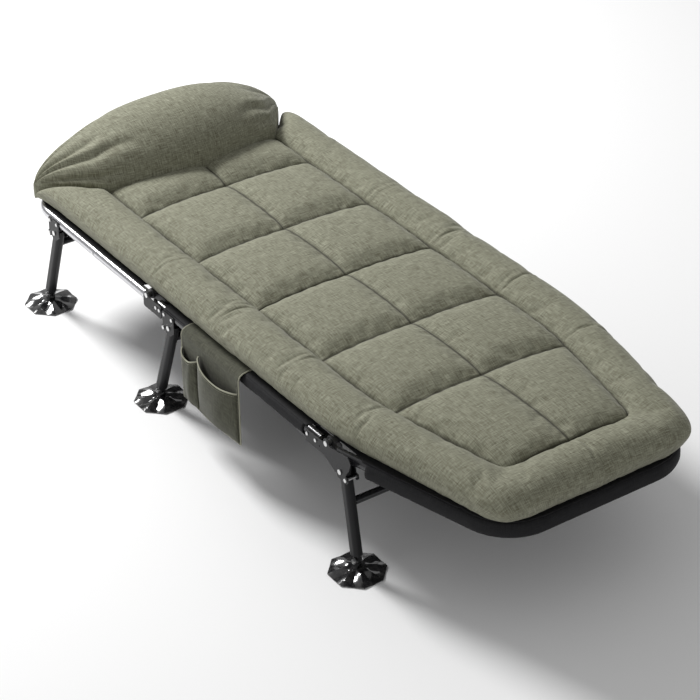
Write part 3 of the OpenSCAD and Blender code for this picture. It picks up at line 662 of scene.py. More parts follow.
def build_pillow():
    stations = CORNER_Y * np.sin(np.linspace(-math.pi / 2, math.pi / 2, 121) * 0.985)
    turns = np.linspace(0, 2 * math.pi, 129)[:-1]
    grid = np.array([[pillow_point(y, f) for f in turns] for y in stations])
    middle = grid.mean(axis=1, keepdims=True)
    points, uvs, pinned = [], [], []
    for i, y in enumerate(stations):
        run = 0.0
        for k, f in enumerate(turns):
            p = grid[i, k].copy()
            away = p - middle[i, 0]
            away /= max(np.linalg.norm(away), 1e-6)
            soft = noise.noise(Vector(p * 7.0)) * 0.0035
            if k:
                run += float(np.linalg.norm(grid[i, k] - grid[i, k - 1]))
            if p[2] > BED_Z + 0.004:
                p += away * soft - (p - middle[i, 0]) * pleat_depth(y, f)
            p[2] = max(p[2], BED_Z)
            points.append(p)
            uvs.append((y, run))
            pinned.append(bool(p[2] < BED_Z + 0.004 or i < 3 or i > len(stations) - 4))
    n = len(turns)
    faces = []
    for i in range(len(stations) - 1):
        for k in range(n):
            a, b = i * n + k, i * n + (k + 1) % n
            faces.append((a, b, b + n, a + n))
    for i, flip in ((0, True), (len(stations) - 1, False)):
        hub = len(points)
        points.append(grid[i].mean(axis=0))
        uvs.append((stations[i], 0.0))
        pinned.append(True)
        for k in range(n):
            pair = (i * n + k, i * n + (k + 1) % n)
            faces.append((hub, *(reversed(pair) if flip else pair)))
    made = outward(add_mesh("pillow_cover", points, faces, cover_cloth, uvs))
    made.vertex_groups.new(name="sewn").add([k for k, p in enumerate(pinned) if p], 1.0, "REPLACE")
    return made


pillow = build_pillow()
swell(pillow, 1.2, 0.004)
finer(pillow)
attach(pillow, "head_section")
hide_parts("pillow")

# ---------------------------------------------------------------- sling
# Black coated canvas stretched between the rails under the bedding, with a
# double hem at each side. It is cut back beside the hinge plates. It is drawn
# as two pieces for the same reason as the mattress.

SLING_SAG = 0.001
SLING_T = 0.0016
HEM_W = 0.030
sling_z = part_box("mid_sling")[0].z + SLING_T / 2
sling_head_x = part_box("head_sling")[0].x
sling_foot_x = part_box("foot_sling")[1].x
rail_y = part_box("mid_sling")[1].y - 0.009
plate_inner_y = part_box("mid_sling")[1].y - 0.0268
HEAD_BEND_R = 0.090
FOOT_BEND_R = 0.129
RAIL_TAPER = math.radians(15.2)
HEM_REACH = 0.009                  # how far the hem stands past the rail's centre line
HEAD_REACH = 0.001                 # the same on the bare head rails
BEND_REACH = 0.002                 # and round the head corners
HEAD_CUT = (0.050, 0.071)          # cut-back beside the head hinge, behind and ahead of its pivot
FOOT_CUT = (0.088, 0.100)          # the same at the foot hinge
CUT_RUN = 0.006                    # length over which the edge steps in
foot_bend_x = sling_foot_x - FOOT_BEND_R
foot_rail_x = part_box("foot_rail_left")[0].x + 0.003
foot_bend_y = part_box("foot_rail_left")[0].y - 0.108 * math.cos(RAIL_TAPER)

canvas = cloth_material(
    "black_canvas", (0.004, 0.004, 0.005), (0.009, 0.009, 0.010), (0.018, 0.018, 0.019),
    0.78, 0.7, 1.0, Specular_IOR_Level=0.25)


def sling_half(x):
    """Half width of the sling at a place along the bed."""
    half = rail_y + (HEAD_REACH if x < head_hinge.x else HEM_REACH)
    if x < sling_head_x + HEAD_BEND_R:
        d = (sling_head_x + HEAD_BEND_R - x) / HEAD_BEND_R
        half = rail_y - HEAD_BEND_R + HEAD_BEND_R * math.sqrt(max(0.0, 1 - d * d)) + BEND_REACH
    for hinge, (back, front) in ((head_hinge.x, HEAD_CUT), (foot_hinge.x, FOOT_CUT)):
        inside = min(x - hinge + back, front - x + hinge)
        step = min(1.0, max(0.0, inside / CUT_RUN))
        half -= (half - plate_inner_y) * step * (half > plate_inner_y)
    if x > foot_hinge.x + FOOT_CUT[1]:
        half = min(half, rail_y + HEM_REACH - (x - foot_rail_x) * math.tan(RAIL_TAPER))
    if x > foot_bend_x:
        d = (x - foot_bend_x) / FOOT_BEND_R
        arc = foot_bend_y + FOOT_BEND_R * math.sqrt(max(0.0, 1 - d * d))
        half = min(half, arc)
    return half


def build_sling(name, x0, x1):
    xs = np.linspace(x0, x1, int((x1 - x0) / 0.006))
    shares = np.sin(np.linspace(-math.pi / 2, math.pi / 2, 61))
    layers = {1: [], -1: []}
    points, uvs = [], []
    for face in (1, -1):
        for x in xs:
            half = sling_half(float(x))
            row = []
            for share in shares:
                y = share * half
                hem = 1.0 if half - abs(y) < HEM_W else 0.0
                over = max(0.0, abs(y) - rail_y) ** 2 * 34
                z = sling_z - SLING_SAG * (1 - share * share) - over
                z += face * (SLING_T / 2 + hem * 0.0006)
                row.append(len(points))
                points.append((x, y, z))
                uvs.append((x, y))
            layers[face].append(row)
    faces = []
    up, down = layers[1], layers[-1]
    for a in range(len(xs) - 1):
        for k in range(len(shares) - 1):
            faces.append((up[a][k], up[a + 1][k], up[a + 1][k + 1], up[a][k + 1]))
            faces.append((down[a][k], down[a][k + 1], down[a + 1][k + 1], down[a + 1][k]))
        for k in (0, len(shares) - 1):
            faces.append((up[a][k], down[a][k], down[a + 1][k], up[a + 1][k]))
    for a in (0, len(xs) - 1):
        faces += [(up[a][k], up[a][k + 1], down[a][k + 1], down[a][k])
                  for k in range(len(shares) - 1)]
    return outward(add_mesh(name, points, faces, canvas, uvs))


sling_head = build_sling("sling_head", sling_head_x, SPLIT_X - 0.0003)
sling_foot = build_sling("sling_foot", SPLIT_X + 0.0003, sling_foot_x)
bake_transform(sling_head)
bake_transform(sling_foot)
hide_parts("head_sling", "mid_sling")
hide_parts("foot_sling")

# ---------------------------------------------------------------- rail sleeves
# Sewn tubes of the same canvas that the frame tubes run in: a deep one round
# the tapered foot bow, and one on each middle rail ahead of the foot hinge.

SLEEVE_WALL = 0.002
rail_z = (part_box("mid_rail_left")[0].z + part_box("mid_rail_left")[1].z) / 2
foot_tube_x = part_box("foot_bow")[1].x - 0.0125
BOW_BEND_R = 0.120


def sleeve_section(half_w, low, high, wall):
    """Oval ring, outer face first, as (outward, height) points."""
    middle, reach = (low + high) / 2, (high - low) / 2
    turns = np.linspace(0, 2 * math.pi, 29)[:-1]

    def oval(inset):
        return [(math.copysign(abs(math.cos(f)) ** 0.8, math.cos(f)) * (half_w - inset),
                 middle + math.copysign(abs(math.sin(f)) ** 0.8, math.sin(f)) * (reach - inset))
                for f in turns]
    return oval(0.0), oval(wall)


def build_sleeve(name, path, half_w, low, high, ripple):
    """Sweeps the oval ring along a plan path and joins its two faces at both open ends."""
    path = np.array(path)
    heading = np.gradient(path, axis=0)
    heading /= np.linalg.norm(heading, axis=1)[:, None]
    run = np.r_[0, np.cumsum(np.linalg.norm(np.diff(path, axis=0), axis=1))]
    outer, inner = sleeve_section(half_w, low, high, SLEEVE_WALL)
    points, uvs = [], []
    for ring in (outer, inner):
        for (x, y), (hx, hy), s in zip(path, heading, run):
            for k, (a, z) in enumerate(ring):
                crease = ripple * noise.noise(Vector((s * 22, k * 0.35, 2.0)))
                points.append((x - hy * (a + crease), y + hx * (a + crease), z + crease * 0.6))
                uvs.append((s, k * 0.0045))
    n, rows = len(outer), len(path)
    faces = []
    for layer in (0, 1):
        base = layer * n * rows
        for i in range(rows - 1):
            for k in range(n):
                quad = (base + i * n + k, base + i * n + (k + 1) % n,
                        base + (i + 1) * n + (k + 1) % n, base + (i + 1) * n + k)
                faces.append(quad if layer else quad[::-1])
    for i in (0, rows - 1):
        for k in range(n):
            faces.append((i * n + k, i * n + (k + 1) % n,
                          n * rows + i * n + (k + 1) % n, n * rows + i * n + k))
    return outward(add_mesh(name, points, faces, canvas, uvs))


bow_cx = foot_tube_x - BOW_BEND_R
bow_start = bow_cx + BOW_BEND_R * math.sin(RAIL_TAPER)
bow_start_y = rail_y - (bow_start - foot_rail_x) * math.tan(RAIL_TAPER)
bow_cy = bow_start_y - BOW_BEND_R * math.cos(RAIL_TAPER)
left_half = [(x, rail_y - (x - foot_rail_x) * math.tan(RAIL_TAPER))
             for x in np.linspace(foot_hinge.x + 0.112, bow_start, 40)]
left_half += [(bow_cx + BOW_BEND_R * math.sin(f), bow_cy + BOW_BEND_R * math.cos(f))
              for f in np.linspace(RAIL_TAPER, math.pi / 2, 22)[1:]]
left_half += [(foot_tube_x, y) for y in np.linspace(bow_cy, 0, 24)[1:]]
bow_path = left_half + [(x, -y) for x, y in reversed(left_half[:-1])]
foot_sleeve = build_sleeve(
    "foot_sleeve", bow_path, 0.0165, rail_z - 0.0305, rail_z + 0.0128, 0.0012)
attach(foot_sleeve, "foot_section")
for side, label in ((1, "left"), (-1, "right")):
    straight = [(x, side * rail_y) for x in np.linspace(0.060, foot_hinge.x - 0.095, 40)]
    sleeve = build_sleeve(
        f"mid_sleeve_{label}", straight, 0.0152, rail_z - 0.0190, rail_z + 0.0128, 0.0009)
    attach(sleeve, "mid_section")

# ---------------------------------------------------------------- side pocket
# Flap of the cover cloth that hangs from the right rail, with a narrow and a
# wide pocket sewn on. Its edges and the pockets' mouths are bound with tape.

panel_low, panel_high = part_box("pocket_panel")
small_low, small_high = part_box("small_pocket")
large_low, large_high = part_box("large_pocket")
POCKET_T = 0.0016
panel_face_y = panel_low.y + 0.001

# Painted shade: the flap and its pockets are the cover cloth, coloured much darker for the shade
# they hang in.
shaded_pocket_cloth = cloth_material(
    "shaded_pocket_cloth", (0.024, 0.023, 0.013), (0.052, 0.053, 0.033), (0.095, 0.097, 0.065),
    0.88, 0.9, 1.2, Sheen_Weight=0.1)
tape = cloth_material(
    "binding_tape", (0.20, 0.198, 0.145), (0.29, 0.288, 0.22), (0.37, 0.365, 0.29),
    0.8, 0.5, 0.6)


def flap_point(u, t):
    """Point of the flap: u along the bed, t from its edge under the mattress to its hem."""
    path = [(panel_high.y, panel_high.z - 0.0012), (-rail_y, panel_high.z - 0.0004),
            (-rail_y - 0.014, panel_high.z - 0.0030), (panel_face_y + 0.004, panel_high.z - 0.0080),
            (panel_face_y, panel_high.z - 0.018), (panel_face_y, panel_low.z)]
    run = np.r_[0, np.cumsum([math.dist(a, b) for a, b in zip(path, path[1:])])]
    s = t * run[-1]
    y = float(np.interp(s, run, [p[0] for p in path]))
    z = float(np.interp(s, run, [p[1] for p in path]))
    hang = max(0.0, s - run[3]) / (run[-1] - run[3])
    y += -0.0035 * hang * math.sin(math.pi * u) ** 2 + 0.0016 * hang * math.sin(7.0 * u + 1.0)
    z += 0.0018 * math.sin(5 * u) * hang
    x = panel_low.x + (panel_high.x - panel_low.x) * u + 0.0015 * hang * math.sin(2.2 * math.pi * u)
    return (x, y, z)


def cloth_patch(name, place, across, down, material):
    """A grid of cloth from place(u, t), given its thickness."""
    points, uvs = [], []
    for i in range(down + 1):
        for j in range(across + 1):
            p = place(j / across, i / down)
            points.append(p)
            uvs.append((p[0], p[2] + p[1]))
    w = across + 1
    faces = [(i * w + j, i * w + j + 1, (i + 1) * w + j + 1, (i + 1) * w + j)
             for i in range(down) for j in range(across)]
    patch = add_mesh(name, points, faces, material, uvs)
    wall = patch.modifiers.new("wall", "SOLIDIFY")
    wall.thickness = POCKET_T
    wall.offset = 0
    mesh = plain_mesh(patch)
    patch.modifiers.remove(wall)
    patch.data = mesh
    return outward(patch)


def pocket_point(low, high, depth, dip, tilt):
    """A pouch: flat at its sewn sides and bottom, standing away from the flap at its mouth."""
    def place(u, t):
        full = math.sin(math.pi * u) ** 0.55
        rise = 1 - t
        open_out = depth * full * math.sin(math.pi / 2 * min(1.0, rise * 1.6)) ** 0.6
        height = (high.z - low.z) + tilt * (1 - u) - dip * math.sin(math.pi * u) ** 1.4
        x = low.x + (high.x - low.x) * (0.5 + (u - 0.5) * (1 - 0.03 * rise))
        base = flap_point((x - panel_low.x) / (panel_high.x - panel_low.x), 0.75)[1]
        y = base - 0.0022 - open_out
        y -= 0.0016 * math.sin(9 * u + 3 * t) * full
        return (x, y, low.z + 0.0015 + height * rise)
    return place


flap = cloth_patch("pocket_flap", flap_point, 48, 60, shaded_pocket_cloth)
small_place = pocket_point(small_low, small_high, small_high.y - small_low.y - 0.006, 0.012, 0.006)
large_place = pocket_point(large_low, large_high, large_high.y - large_low.y - 0.005, 0.012, 0.020)
small_pouch = cloth_patch("narrow_pocket", small_place, 24, 32, shaded_pocket_cloth)
large_pouch = cloth_patch("wide_pocket", large_place, 44, 32, shaded_pocket_cloth)


def node_tree(name, inputs):
    tree = bpy.data.node_groups.new(name, "GeometryNodeTree")
    tree.interface.new_socket("Geometry", in_out="INPUT", socket_type="NodeSocketGeometry")
    for label, kind, value in inputs:
        socket = tree.interface.new_socket(label, in_out="INPUT", socket_type=kind)
        if value is not None:
            socket.default_value = value
    tree.interface.new_socket("Geometry", in_out="OUTPUT", socket_type="NodeSocketGeometry")
    return tree, tree.nodes.new("NodeGroupInput"), tree.nodes.new("NodeGroupOutput")


def run_tree(piece, tree, name, **values):
    """Runs a tree on a piece and returns the result as a plain mesh object."""
    modifier = piece.modifiers.new("maker", "NODES")
    modifier.node_group = tree
    for item in tree.interface.items_tree:
        if item.in_out == "INPUT" and item.name in values:
            modifier[item.identifier] = values[item.name]
    graph = bpy.context.evaluated_depsgraph_get()
    mesh = bpy.data.meshes.new_from_object(piece.evaluated_get(graph), depsgraph=graph)
    mesh.name = name
    bpy.data.objects.remove(piece)
    made = bpy.data.objects.new(name, mesh)
    scene.collection.objects.link(made)
    return made


def line_curve(lines):
    """Open polylines as one curve object, for a tree to follow."""
    curve = bpy.data.curves.new("line", "CURVE")
    curve.dimensions = "3D"
    for line in lines:
        spline = curve.splines.new("POLY")
        spline.points.add(len(line) - 1)
        spline.points.foreach_set("co", np.array([(*p, 1) for p in line], np.float32).ravel())
    made = bpy.data.objects.new("line", curve)
    scene.collection.objects.link(made)
    return made


binding, binding_in, binding_out = node_tree("bound_edge", [
    ("Radius", "NodeSocketFloat", 0.002), ("Cloth", "NodeSocketMaterial", None)])
bind_round = binding.nodes.new("GeometryNodeCurvePrimitiveCircle")
bind_round.inputs["Resolution"].default_value = 8
bind_sweep = binding.nodes.new("GeometryNodeCurveToMesh")
bind_sweep.inputs["Fill Caps"].default_value = True
bind_paint = binding.nodes.new("GeometryNodeSetMaterial")
wire(binding,
    (binding_in, "Radius", bind_round, "Radius"), (binding_in, "Geometry", bind_sweep, "Curve"),
    (bind_round, "Curve", bind_sweep, "Profile Curve"),
    (bind_sweep, "Mesh", bind_paint, "Geometry"), (binding_in, "Cloth", bind_paint, "Material"),
    (bind_paint, "Geometry", binding_out, "Geometry"))

sewing, sewing_in, sewing_out = node_tree("sewn_line", [
    ("Pitch", "NodeSocketFloat", 0.004), ("Length", "NodeSocketFloat", 0.003),
    ("Thickness", "NodeSocketFloat", 0.0008), ("Thread", "NodeSocketMaterial", None)])
sew_points = node(sewing, "GeometryNodeCurveToPoints", mode="LENGTH")
sew_turn = node(sewing, "FunctionNodeAlignRotationToVector", axis="Z")
sew_ball = sewing.nodes.new("GeometryNodeMeshUVSphere")
sew_ball.inputs["Segments"].default_value = 6
sew_ball.inputs["Rings"].default_value = 4
sew_ball.inputs["Radius"].default_value = 0.5
sew_size = sewing.nodes.new("ShaderNodeCombineXYZ")
sew_place = sewing.nodes.new("GeometryNodeInstanceOnPoints")
sew_real = sewing.nodes.new("GeometryNodeRealizeInstances")
sew_paint = sewing.nodes.new("GeometryNodeSetMaterial")
wire(sewing,
    (sewing_in, "Geometry", sew_points, "Curve"), (sewing_in, "Pitch", sew_points, "Length"),
    (sew_points, "Tangent", sew_turn, "Vector"), (sewing_in, "Thickness", sew_size, "X"),
    (sewing_in, "Thickness", sew_size, "Y"), (sewing_in, "Length", sew_size, "Z"),
    (sew_points, "Points", sew_place, "Points"), (sew_ball, "Mesh", sew_place, "Instance"),
    (sew_turn, "Rotation", sew_place, "Rotation"), (sew_size, "Vector", sew_place, "Scale"),
    (sew_place, "Instances", sew_real, "Geometry"), (sew_real, "Geometry", sew_paint, "Geometry"),
    (sewing_in, "Thread", sew_paint, "Material"), (sew_paint, "Geometry", sewing_out, "Geometry"))

thread, thread_tree, thread_shader = new_material("sewing_thread", 0.6, Sheen_Weight=0.2)
thread_noise = node(thread_tree, "ShaderNodeTexNoise")
thread_noise.inputs["Scale"].default_value = 900
thread_dye = node(thread_tree, "ShaderNodeValToRGB")
thread_dye.color_ramp.elements[0].color = (0.16, 0.155, 0.10, 1)
thread_dye.color_ramp.elements[1].color = (0.34, 0.335, 0.25, 1)
thread_place = node(thread_tree, "ShaderNodeTexCoord")
wire(thread_tree,
    (thread_place, "Object", thread_noise, "Vector"), (thread_noise, "Fac", thread_dye, "Fac"),
    (thread_dye, "Color", thread_shader, "Base Color"))

edge_lines = [
    [flap_point(0.0, t) for t in np.linspace(0, 1, 50)]
    + [flap_point(u, 1.0) for u in np.linspace(0.02, 1, 40)]
    + [flap_point(1.0, t) for t in np.linspace(0.98, 0, 50)],
    [small_place(u, 0.0) for u in np.linspace(0, 1, 30)],
    [large_place(u, 0.0) for u in np.linspace(0, 1, 40)],
]
edge_tape = run_tree(line_curve(edge_lines), binding, "pocket_binding", Radius=0.0019, Cloth=tape)


def inset(place, u, t, out=0.0018):
    x, y, z = place(u, t)
    return (x, y - out, z)


sew_lines = [
    [inset(flap_point, 0.022, t) for t in np.linspace(0.33, 0.975, 60)],
    [inset(flap_point, 0.978, t) for t in np.linspace(0.33, 0.975, 60)],
    [inset(flap_point, u, 0.975) for u in np.linspace(0.022, 0.978, 60)],
    [inset(small_place, u, 0.045, 0.0012) for u in np.linspace(0.04, 0.96, 30)],
    [inset(large_place, u, 0.045, 0.0012) for u in np.linspace(0.03, 0.97, 40)],
]
pocket_stitches = run_tree(line_curve(sew_lines), sewing, "pocket_stitches",
                           Pitch=0.0042, Length=0.0032, Thickness=0.0009, Thread=thread)
for piece in (flap, small_pouch, large_pouch, edge_tape, pocket_stitches):
    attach(piece, "mid_section")
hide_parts("pocket_panel")
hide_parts("small_pocket")
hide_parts("large_pocket")

# ---------------------------------------------------------------- metal finishes
# Steel tubes and pressed plates under powder coat, head rails of the same tube
# coloured as bright metal for a painted highlight, and zinc-plated rivets and pins. Paint is rubbed
# through at edges, and dust lies on top.

rubbed, rubbed_in, rubbed_out = new_group(
    "edge_wear",
    [("Place", "NodeSocketVector", None), ("Edge", "NodeSocketFloat", 0.0012),
     ("Patches", "NodeSocketFloat", 90.0)],
    [("Worn", "NodeSocketFloat"), ("Grain", "NodeSocketFloat"), ("Dust", "NodeSocketFloat")])
rub_edge = node(rubbed, "ShaderNodeBevel", samples=4)
rub_true = node(rubbed, "ShaderNodeNewGeometry")
rub_dot = node(rubbed, "ShaderNodeVectorMath", operation="DOT_PRODUCT")
rub_turn = node(rubbed, "ShaderNodeMath", operation="SUBTRACT", in_0=1.0)
rub_noise = node(rubbed, "ShaderNodeTexNoise")
rub_noise.inputs["Detail"].default_value = 5
rub_patch = node(rubbed, "ShaderNodeMapRange", in_1=0.42, in_2=0.66)
rub_mask = node(rubbed, "ShaderNodeMath", operation="MULTIPLY")
rub_gain = node(rubbed, "ShaderNodeMath", operation="MULTIPLY", in_1=5.0, use_clamp=True)
rub_grain = node(rubbed, "ShaderNodeTexNoise")
rub_grain.inputs["Scale"].default_value = 1400
rub_up = node(rubbed, "ShaderNodeSeparateXYZ")
rub_dust = node(rubbed, "ShaderNodeMapRange", in_1=0.55, in_2=1.0)
rub_dusty = node(rubbed, "ShaderNodeMath", operation="MULTIPLY", use_clamp=True)
wire(rubbed,
    (rubbed_in, "Edge", rub_edge, "Radius"), (rub_edge, "Normal", rub_dot, 0),
    (rub_true, "Normal", rub_dot, 1), (rub_dot, "Value", rub_turn, 1),
    (rubbed_in, "Place", rub_noise, "Vector"), (rubbed_in, "Patches", rub_noise, "Scale"),
    (rub_noise, "Fac", rub_patch, 0), (rub_turn, 0, rub_mask, 0), (rub_patch, 0, rub_mask, 1),
    (rub_mask, 0, rub_gain, 0), (rub_gain, 0, rubbed_out, "Worn"),
    (rubbed_in, "Place", rub_grain, "Vector"), (rub_grain, "Fac", rubbed_out, "Grain"),
    (rub_true, "Normal", rub_up, 0), (rub_up, "Z", rub_dust, 0), (rub_dust, 0, rub_dusty, 0),
    (rub_patch, 0, rub_dusty, 1), (rub_dusty, 0, rubbed_out, "Dust"))


def metal(name, colour, worn_colour, metallic, roughness, dust, bump_mm, edge=0.0012, **sockets):
    """A coated or plated metal with rubbed edges, fine grain and a little dust on top."""
    material, tree, shader = new_material(name, roughness, **sockets)
    place = node(tree, "ShaderNodeTexCoord")
    effect = node(tree, "ShaderNodeGroup", node_tree=rubbed)
    effect.inputs["Edge"].default_value = edge
    coat = node(tree, "ShaderNodeMix", data_type="RGBA")
    coat.inputs[6].default_value = (*colour, 1)
    coat.inputs[7].default_value = (*worn_colour, 1)
    dusty = node(tree, "ShaderNodeMix", data_type="RGBA")
    dusty.inputs[7].default_value = (0.30, 0.29, 0.27, 1)
    thin = node(tree, "ShaderNodeMath", operation="MULTIPLY", in_1=dust)
    shine = node(tree, "ShaderNodeMapRange", in_1=0.3, in_2=0.7,
                 in_3=roughness * 0.75, in_4=roughness * 1.35)
    metal_share = node(tree, "ShaderNodeMapRange", in_3=metallic, in_4=1.0)
    bump = node(tree, "ShaderNodeBump")
    bump.inputs["Strength"].default_value = 0.4
    bump.inputs["Distance"].default_value = bump_mm / 1000
    wire(tree,
        (place, "Object", effect, "Place"), (effect, "Worn", coat, "Factor"),
        (effect, "Dust", thin, 0), (thin, 0, dusty, "Factor"))
    tree.links.new(coat.outputs[2], dusty.inputs[6])
    tree.links.new(dusty.outputs[2], shader.inputs["Base Color"])
    wire(tree,
        (effect, "Grain", shine, 0), (shine, 0, shader, "Roughness"),
        (effect, "Worn", metal_share, 0), (metal_share, 0, shader, "Metallic"),
        (effect, "Grain", bump, "Height"), (bump, "Normal", shader, "Normal"))
    return material


# Painted highlight: the head rails are black tube like the rest, coloured as bright metal for the
# light they reflect.
highlight_painted_tube = metal(
    "highlight_painted_tube", (0.52, 0.52, 0.54), (0.80, 0.80, 0.80), 0.92, 0.20, 0.06, 0.02)
dark_tube = metal("dark_tube", (0.022, 0.022, 0.024), (0.32, 0.32, 0.32), 0.20, 0.22, 0.05, 0.03,
                  Coat_Weight=0.35, Coat_Roughness=0.10)
black_coat = metal("black_coat", (0.009, 0.009, 0.010), (0.20, 0.20, 0.21), 0.05, 0.34, 0.04, 0.05,
                   Specular_IOR_Level=0.24)
zinc = metal(
    "zinc_plate", (0.66, 0.66, 0.66), (0.85, 0.85, 0.85), 1.0, 0.27, 0.05, 0.03, edge=0.0006)
tool_steel = metal("tool_steel", (0.10, 0.10, 0.105), (0.40, 0.40, 0.40), 0.9, 0.36, 0.08, 0.04)

finishes = {
    highlight_painted_tube: ["head_rail_left", "head_rail_right", "head_bow"],
    dark_tube: ["mid_rail_left", "mid_rail_right", "mid_cross_bars",
                "foot_rail_left", "foot_rail_right", "foot_bow",
                "head_leg_bar", "mid_leg_bar", "foot_leg_bar"],
    black_coat: ["head_hinge_plates_left", "head_hinge_plates_right", "foot_hinge_plates_left",
                 "foot_hinge_plates_right", "head_leg_brackets", "mid_leg_brackets",
                 "head_leg_left", "head_leg_right", "mid_leg_left", "mid_leg_right",
                 "foot_leg_left", "foot_leg_right"],
    zinc: ["plate_rivets", "bow_rivets", "hinge_pins",
           "head_leg_pins", "mid_leg_pins", "foot_leg_pins",
           "head_tongue_rivets", "foot_tongue_rivets",
           *[f"{end}_foot_bolt_{side}" for end in ("head", "mid", "foot")
             for side in ("left", "right")]],
    tool_steel: ["head_ratchet_tongues", "foot_ratchet_tongues", "ratchet_pawls",
                 "pawl_springs", "hinge_spacers"],
}
for finish, names in finishes.items():
    for name in names:
        mesh = frame["nodes"][name].data
        mesh.materials.clear()
        mesh.materials.append(finish)

# ---------------------------------------------------------------- mud feet
# Wide eight-sided dishes of glossy black plastic, pressed into ridges that run
# from the hub to each corner. Two ears hold the leg's swivel bolt.

DISH_R = 0.070
DISH_DIP_R = 0.0647
HUB_R = 0.018
HUB_TOP = 0.0150
RIM_TOP = 0.0026
DISH_WALL = 0.0020
RIDGE = 0.0075
EAR_R = 0.010
EAR_IN, EAR_OUT = 0.0043, 0.0083
BOLT_Z = 0.030

dish_gloss = metal("dish_gloss", (0.012, 0.012, 0.013), (0.05, 0.05, 0.05), 0.0, 0.14, 0.08, 0.02,
                   Coat_Weight=0.8, Coat_Roughness=0.05)

petals, petals_in, petals_out = node_tree("eight_petals", [
    ("Count", "NodeSocketInt", 8), ("Weld", "NodeSocketFloat", 0.00005),
    ("Finish", "NodeSocketMaterial", None)])
petal_points = petals.nodes.new("GeometryNodePoints")
petal_index = petals.nodes.new("GeometryNodeInputIndex")
petal_step = node(petals, "ShaderNodeMath", operation="DIVIDE", in_0=2 * math.pi)
petal_angle = node(petals, "ShaderNodeMath", operation="MULTIPLY")
petal_turn = petals.nodes.new("ShaderNodeCombineXYZ")
petal_place = petals.nodes.new("GeometryNodeInstanceOnPoints")
petal_real = petals.nodes.new("GeometryNodeRealizeInstances")
petal_weld = petals.nodes.new("GeometryNodeMergeByDistance")
petal_paint = petals.nodes.new("GeometryNodeSetMaterial")
wire(petals,
    (petals_in, "Count", petal_points, "Count"), (petals_in, "Count", petal_step, 1),
    (petal_index, "Index", petal_angle, 0), (petal_step, 0, petal_angle, 1),
    (petal_angle, 0, petal_turn, "Z"), (petal_points, 0, petal_place, "Points"),
    (petals_in, "Geometry", petal_place, "Instance"),
    (petal_turn, "Vector", petal_place, "Rotation"),
    (petal_place, "Instances", petal_real, "Geometry"),
    (petal_real, "Geometry", petal_weld, "Geometry"), (petals_in, "Weld", petal_weld, "Distance"),
    (petal_weld, "Geometry", petal_paint, "Geometry"),
    (petals_in, "Finish", petal_paint, "Material"),
    (petal_paint, "Geometry", petals_out, "Geometry"))


def petal_mesh():
    """One eighth of the dish, ridge in its middle, with its top, underside and rim."""
    half_angle = math.pi / 8
    radii = np.linspace(0, 1, 9)
    turns = np.linspace(-1, 1, 9)
    points, faces = [], []
    for under in (0, 1):
        for share in radii:
            for t in turns:
                rim = DISH_DIP_R / math.cos((1 - abs(t)) * half_angle)
                r = HUB_R * 0.5 + (rim - HUB_R * 0.5) * share
                slope = max(0.0, (r - HUB_R) / (DISH_R - HUB_R))
                z = RIM_TOP + (HUB_TOP - RIM_TOP) * (1 - slope)
                z += RIDGE * (0.5 - abs(t)) * min(1.0, slope * 3) * (1.15 - 0.75 * slope)
                z -= under * DISH_WALL
                f = math.pi / 8 + t * half_angle
                points.append((r * math.cos(f), r * math.sin(f), max(z, 0.0)))
    n, layer = len(turns), len(turns) * len(radii)
    for i in range(len(radii) - 1):
        for k in range(n - 1):
            a = i * n + k
            faces.append((a, a + n, a + n + 1, a + 1))
            faces.append((layer + a, layer + a + 1, layer + a + n + 1, layer + a + n))
    for k in range(n - 1):
        for row, flip in ((0, True), (len(radii) - 1, False)):
            a = row * n + k
            quad = (a, layer + a, layer + a + 1, a + 1)
            faces.append(quad[::-1] if flip else quad)
    return points, faces


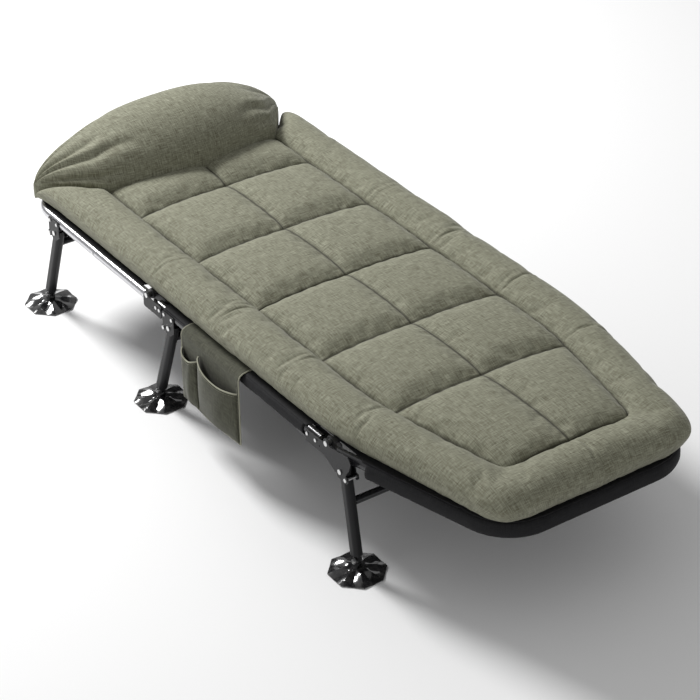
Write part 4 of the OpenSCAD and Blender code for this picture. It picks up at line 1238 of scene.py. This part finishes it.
def hub_and_ears():
    """Round hub and the two ears on it, as points and faces round the swivel."""
    bm = bmesh.new()
    bmesh.ops.create_cone(bm, cap_ends=True, segments=40,
                          radius1=HUB_R * 0.98, radius2=HUB_R * 0.80,
                          depth=0.006, matrix=Matrix.Translation((0, 0, HUB_TOP - 0.0028)))
    for side in (1, -1):
        outline = [(-EAR_R, HUB_TOP - 0.002), (EAR_R, HUB_TOP - 0.002)]
        outline += [(EAR_R * math.cos(f), BOLT_Z + EAR_R * math.sin(f))
                    for f in np.linspace(0, math.pi, 17)]
        ring = [bm.verts.new((x, side * EAR_IN, z)) for x, z in outline]
        face = bm.faces.new(ring)
        grown = bmesh.ops.extrude_face_region(bm, geom=[face])
        moved = [v for v in grown["geom"] if isinstance(v, bmesh.types.BMVert)]
        bmesh.ops.translate(bm, verts=moved, vec=(0, side * (EAR_OUT - EAR_IN), 0))
    sharp = [e for e in bm.edges if len(e.link_faces) == 2 and e.calc_face_angle(0) > 0.8]
    bmesh.ops.bevel(bm, geom=sharp, offset=0.0008, segments=2, affect="EDGES")
    bmesh.ops.recalc_face_normals(bm, faces=bm.faces)
    mesh = bpy.data.meshes.new("hub")
    bm.to_mesh(mesh)
    bm.free()
    points = [tuple(v.co) for v in mesh.vertices]
    faces = [tuple(p.vertices) for p in mesh.polygons]
    bpy.data.meshes.remove(mesh)
    return points, faces


petal = add_mesh("petal", *petal_mesh(), dish_gloss)
dish = outward(run_tree(petal, petals, "dish", Finish=dish_gloss))
hub_points, hub_faces = hub_and_ears()
dish_points = [tuple(v.co) for v in dish.data.vertices]
foot_faces = [tuple(p.vertices) for p in dish.data.polygons]
foot_faces += [tuple(k + len(dish_points) for k in f) for f in hub_faces]
bpy.data.objects.remove(dish)
for end in ("head", "mid", "foot"):
    for side in ("left", "right"):
        cad_name = f"{end}_mud_foot_{side}"
        low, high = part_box(cad_name)
        middle = np.array([(low.x + high.x) / 2, (low.y + high.y) / 2, 0])
        made = add_mesh(f"{end}_dish_{side}", np.array(dish_points + hub_points) + middle,
                        foot_faces, dish_gloss)
        made.data.set_sharp_from_angle(angle=math.radians(20))
        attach(made, f"{end}_{side}_foot")
        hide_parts(cad_name)
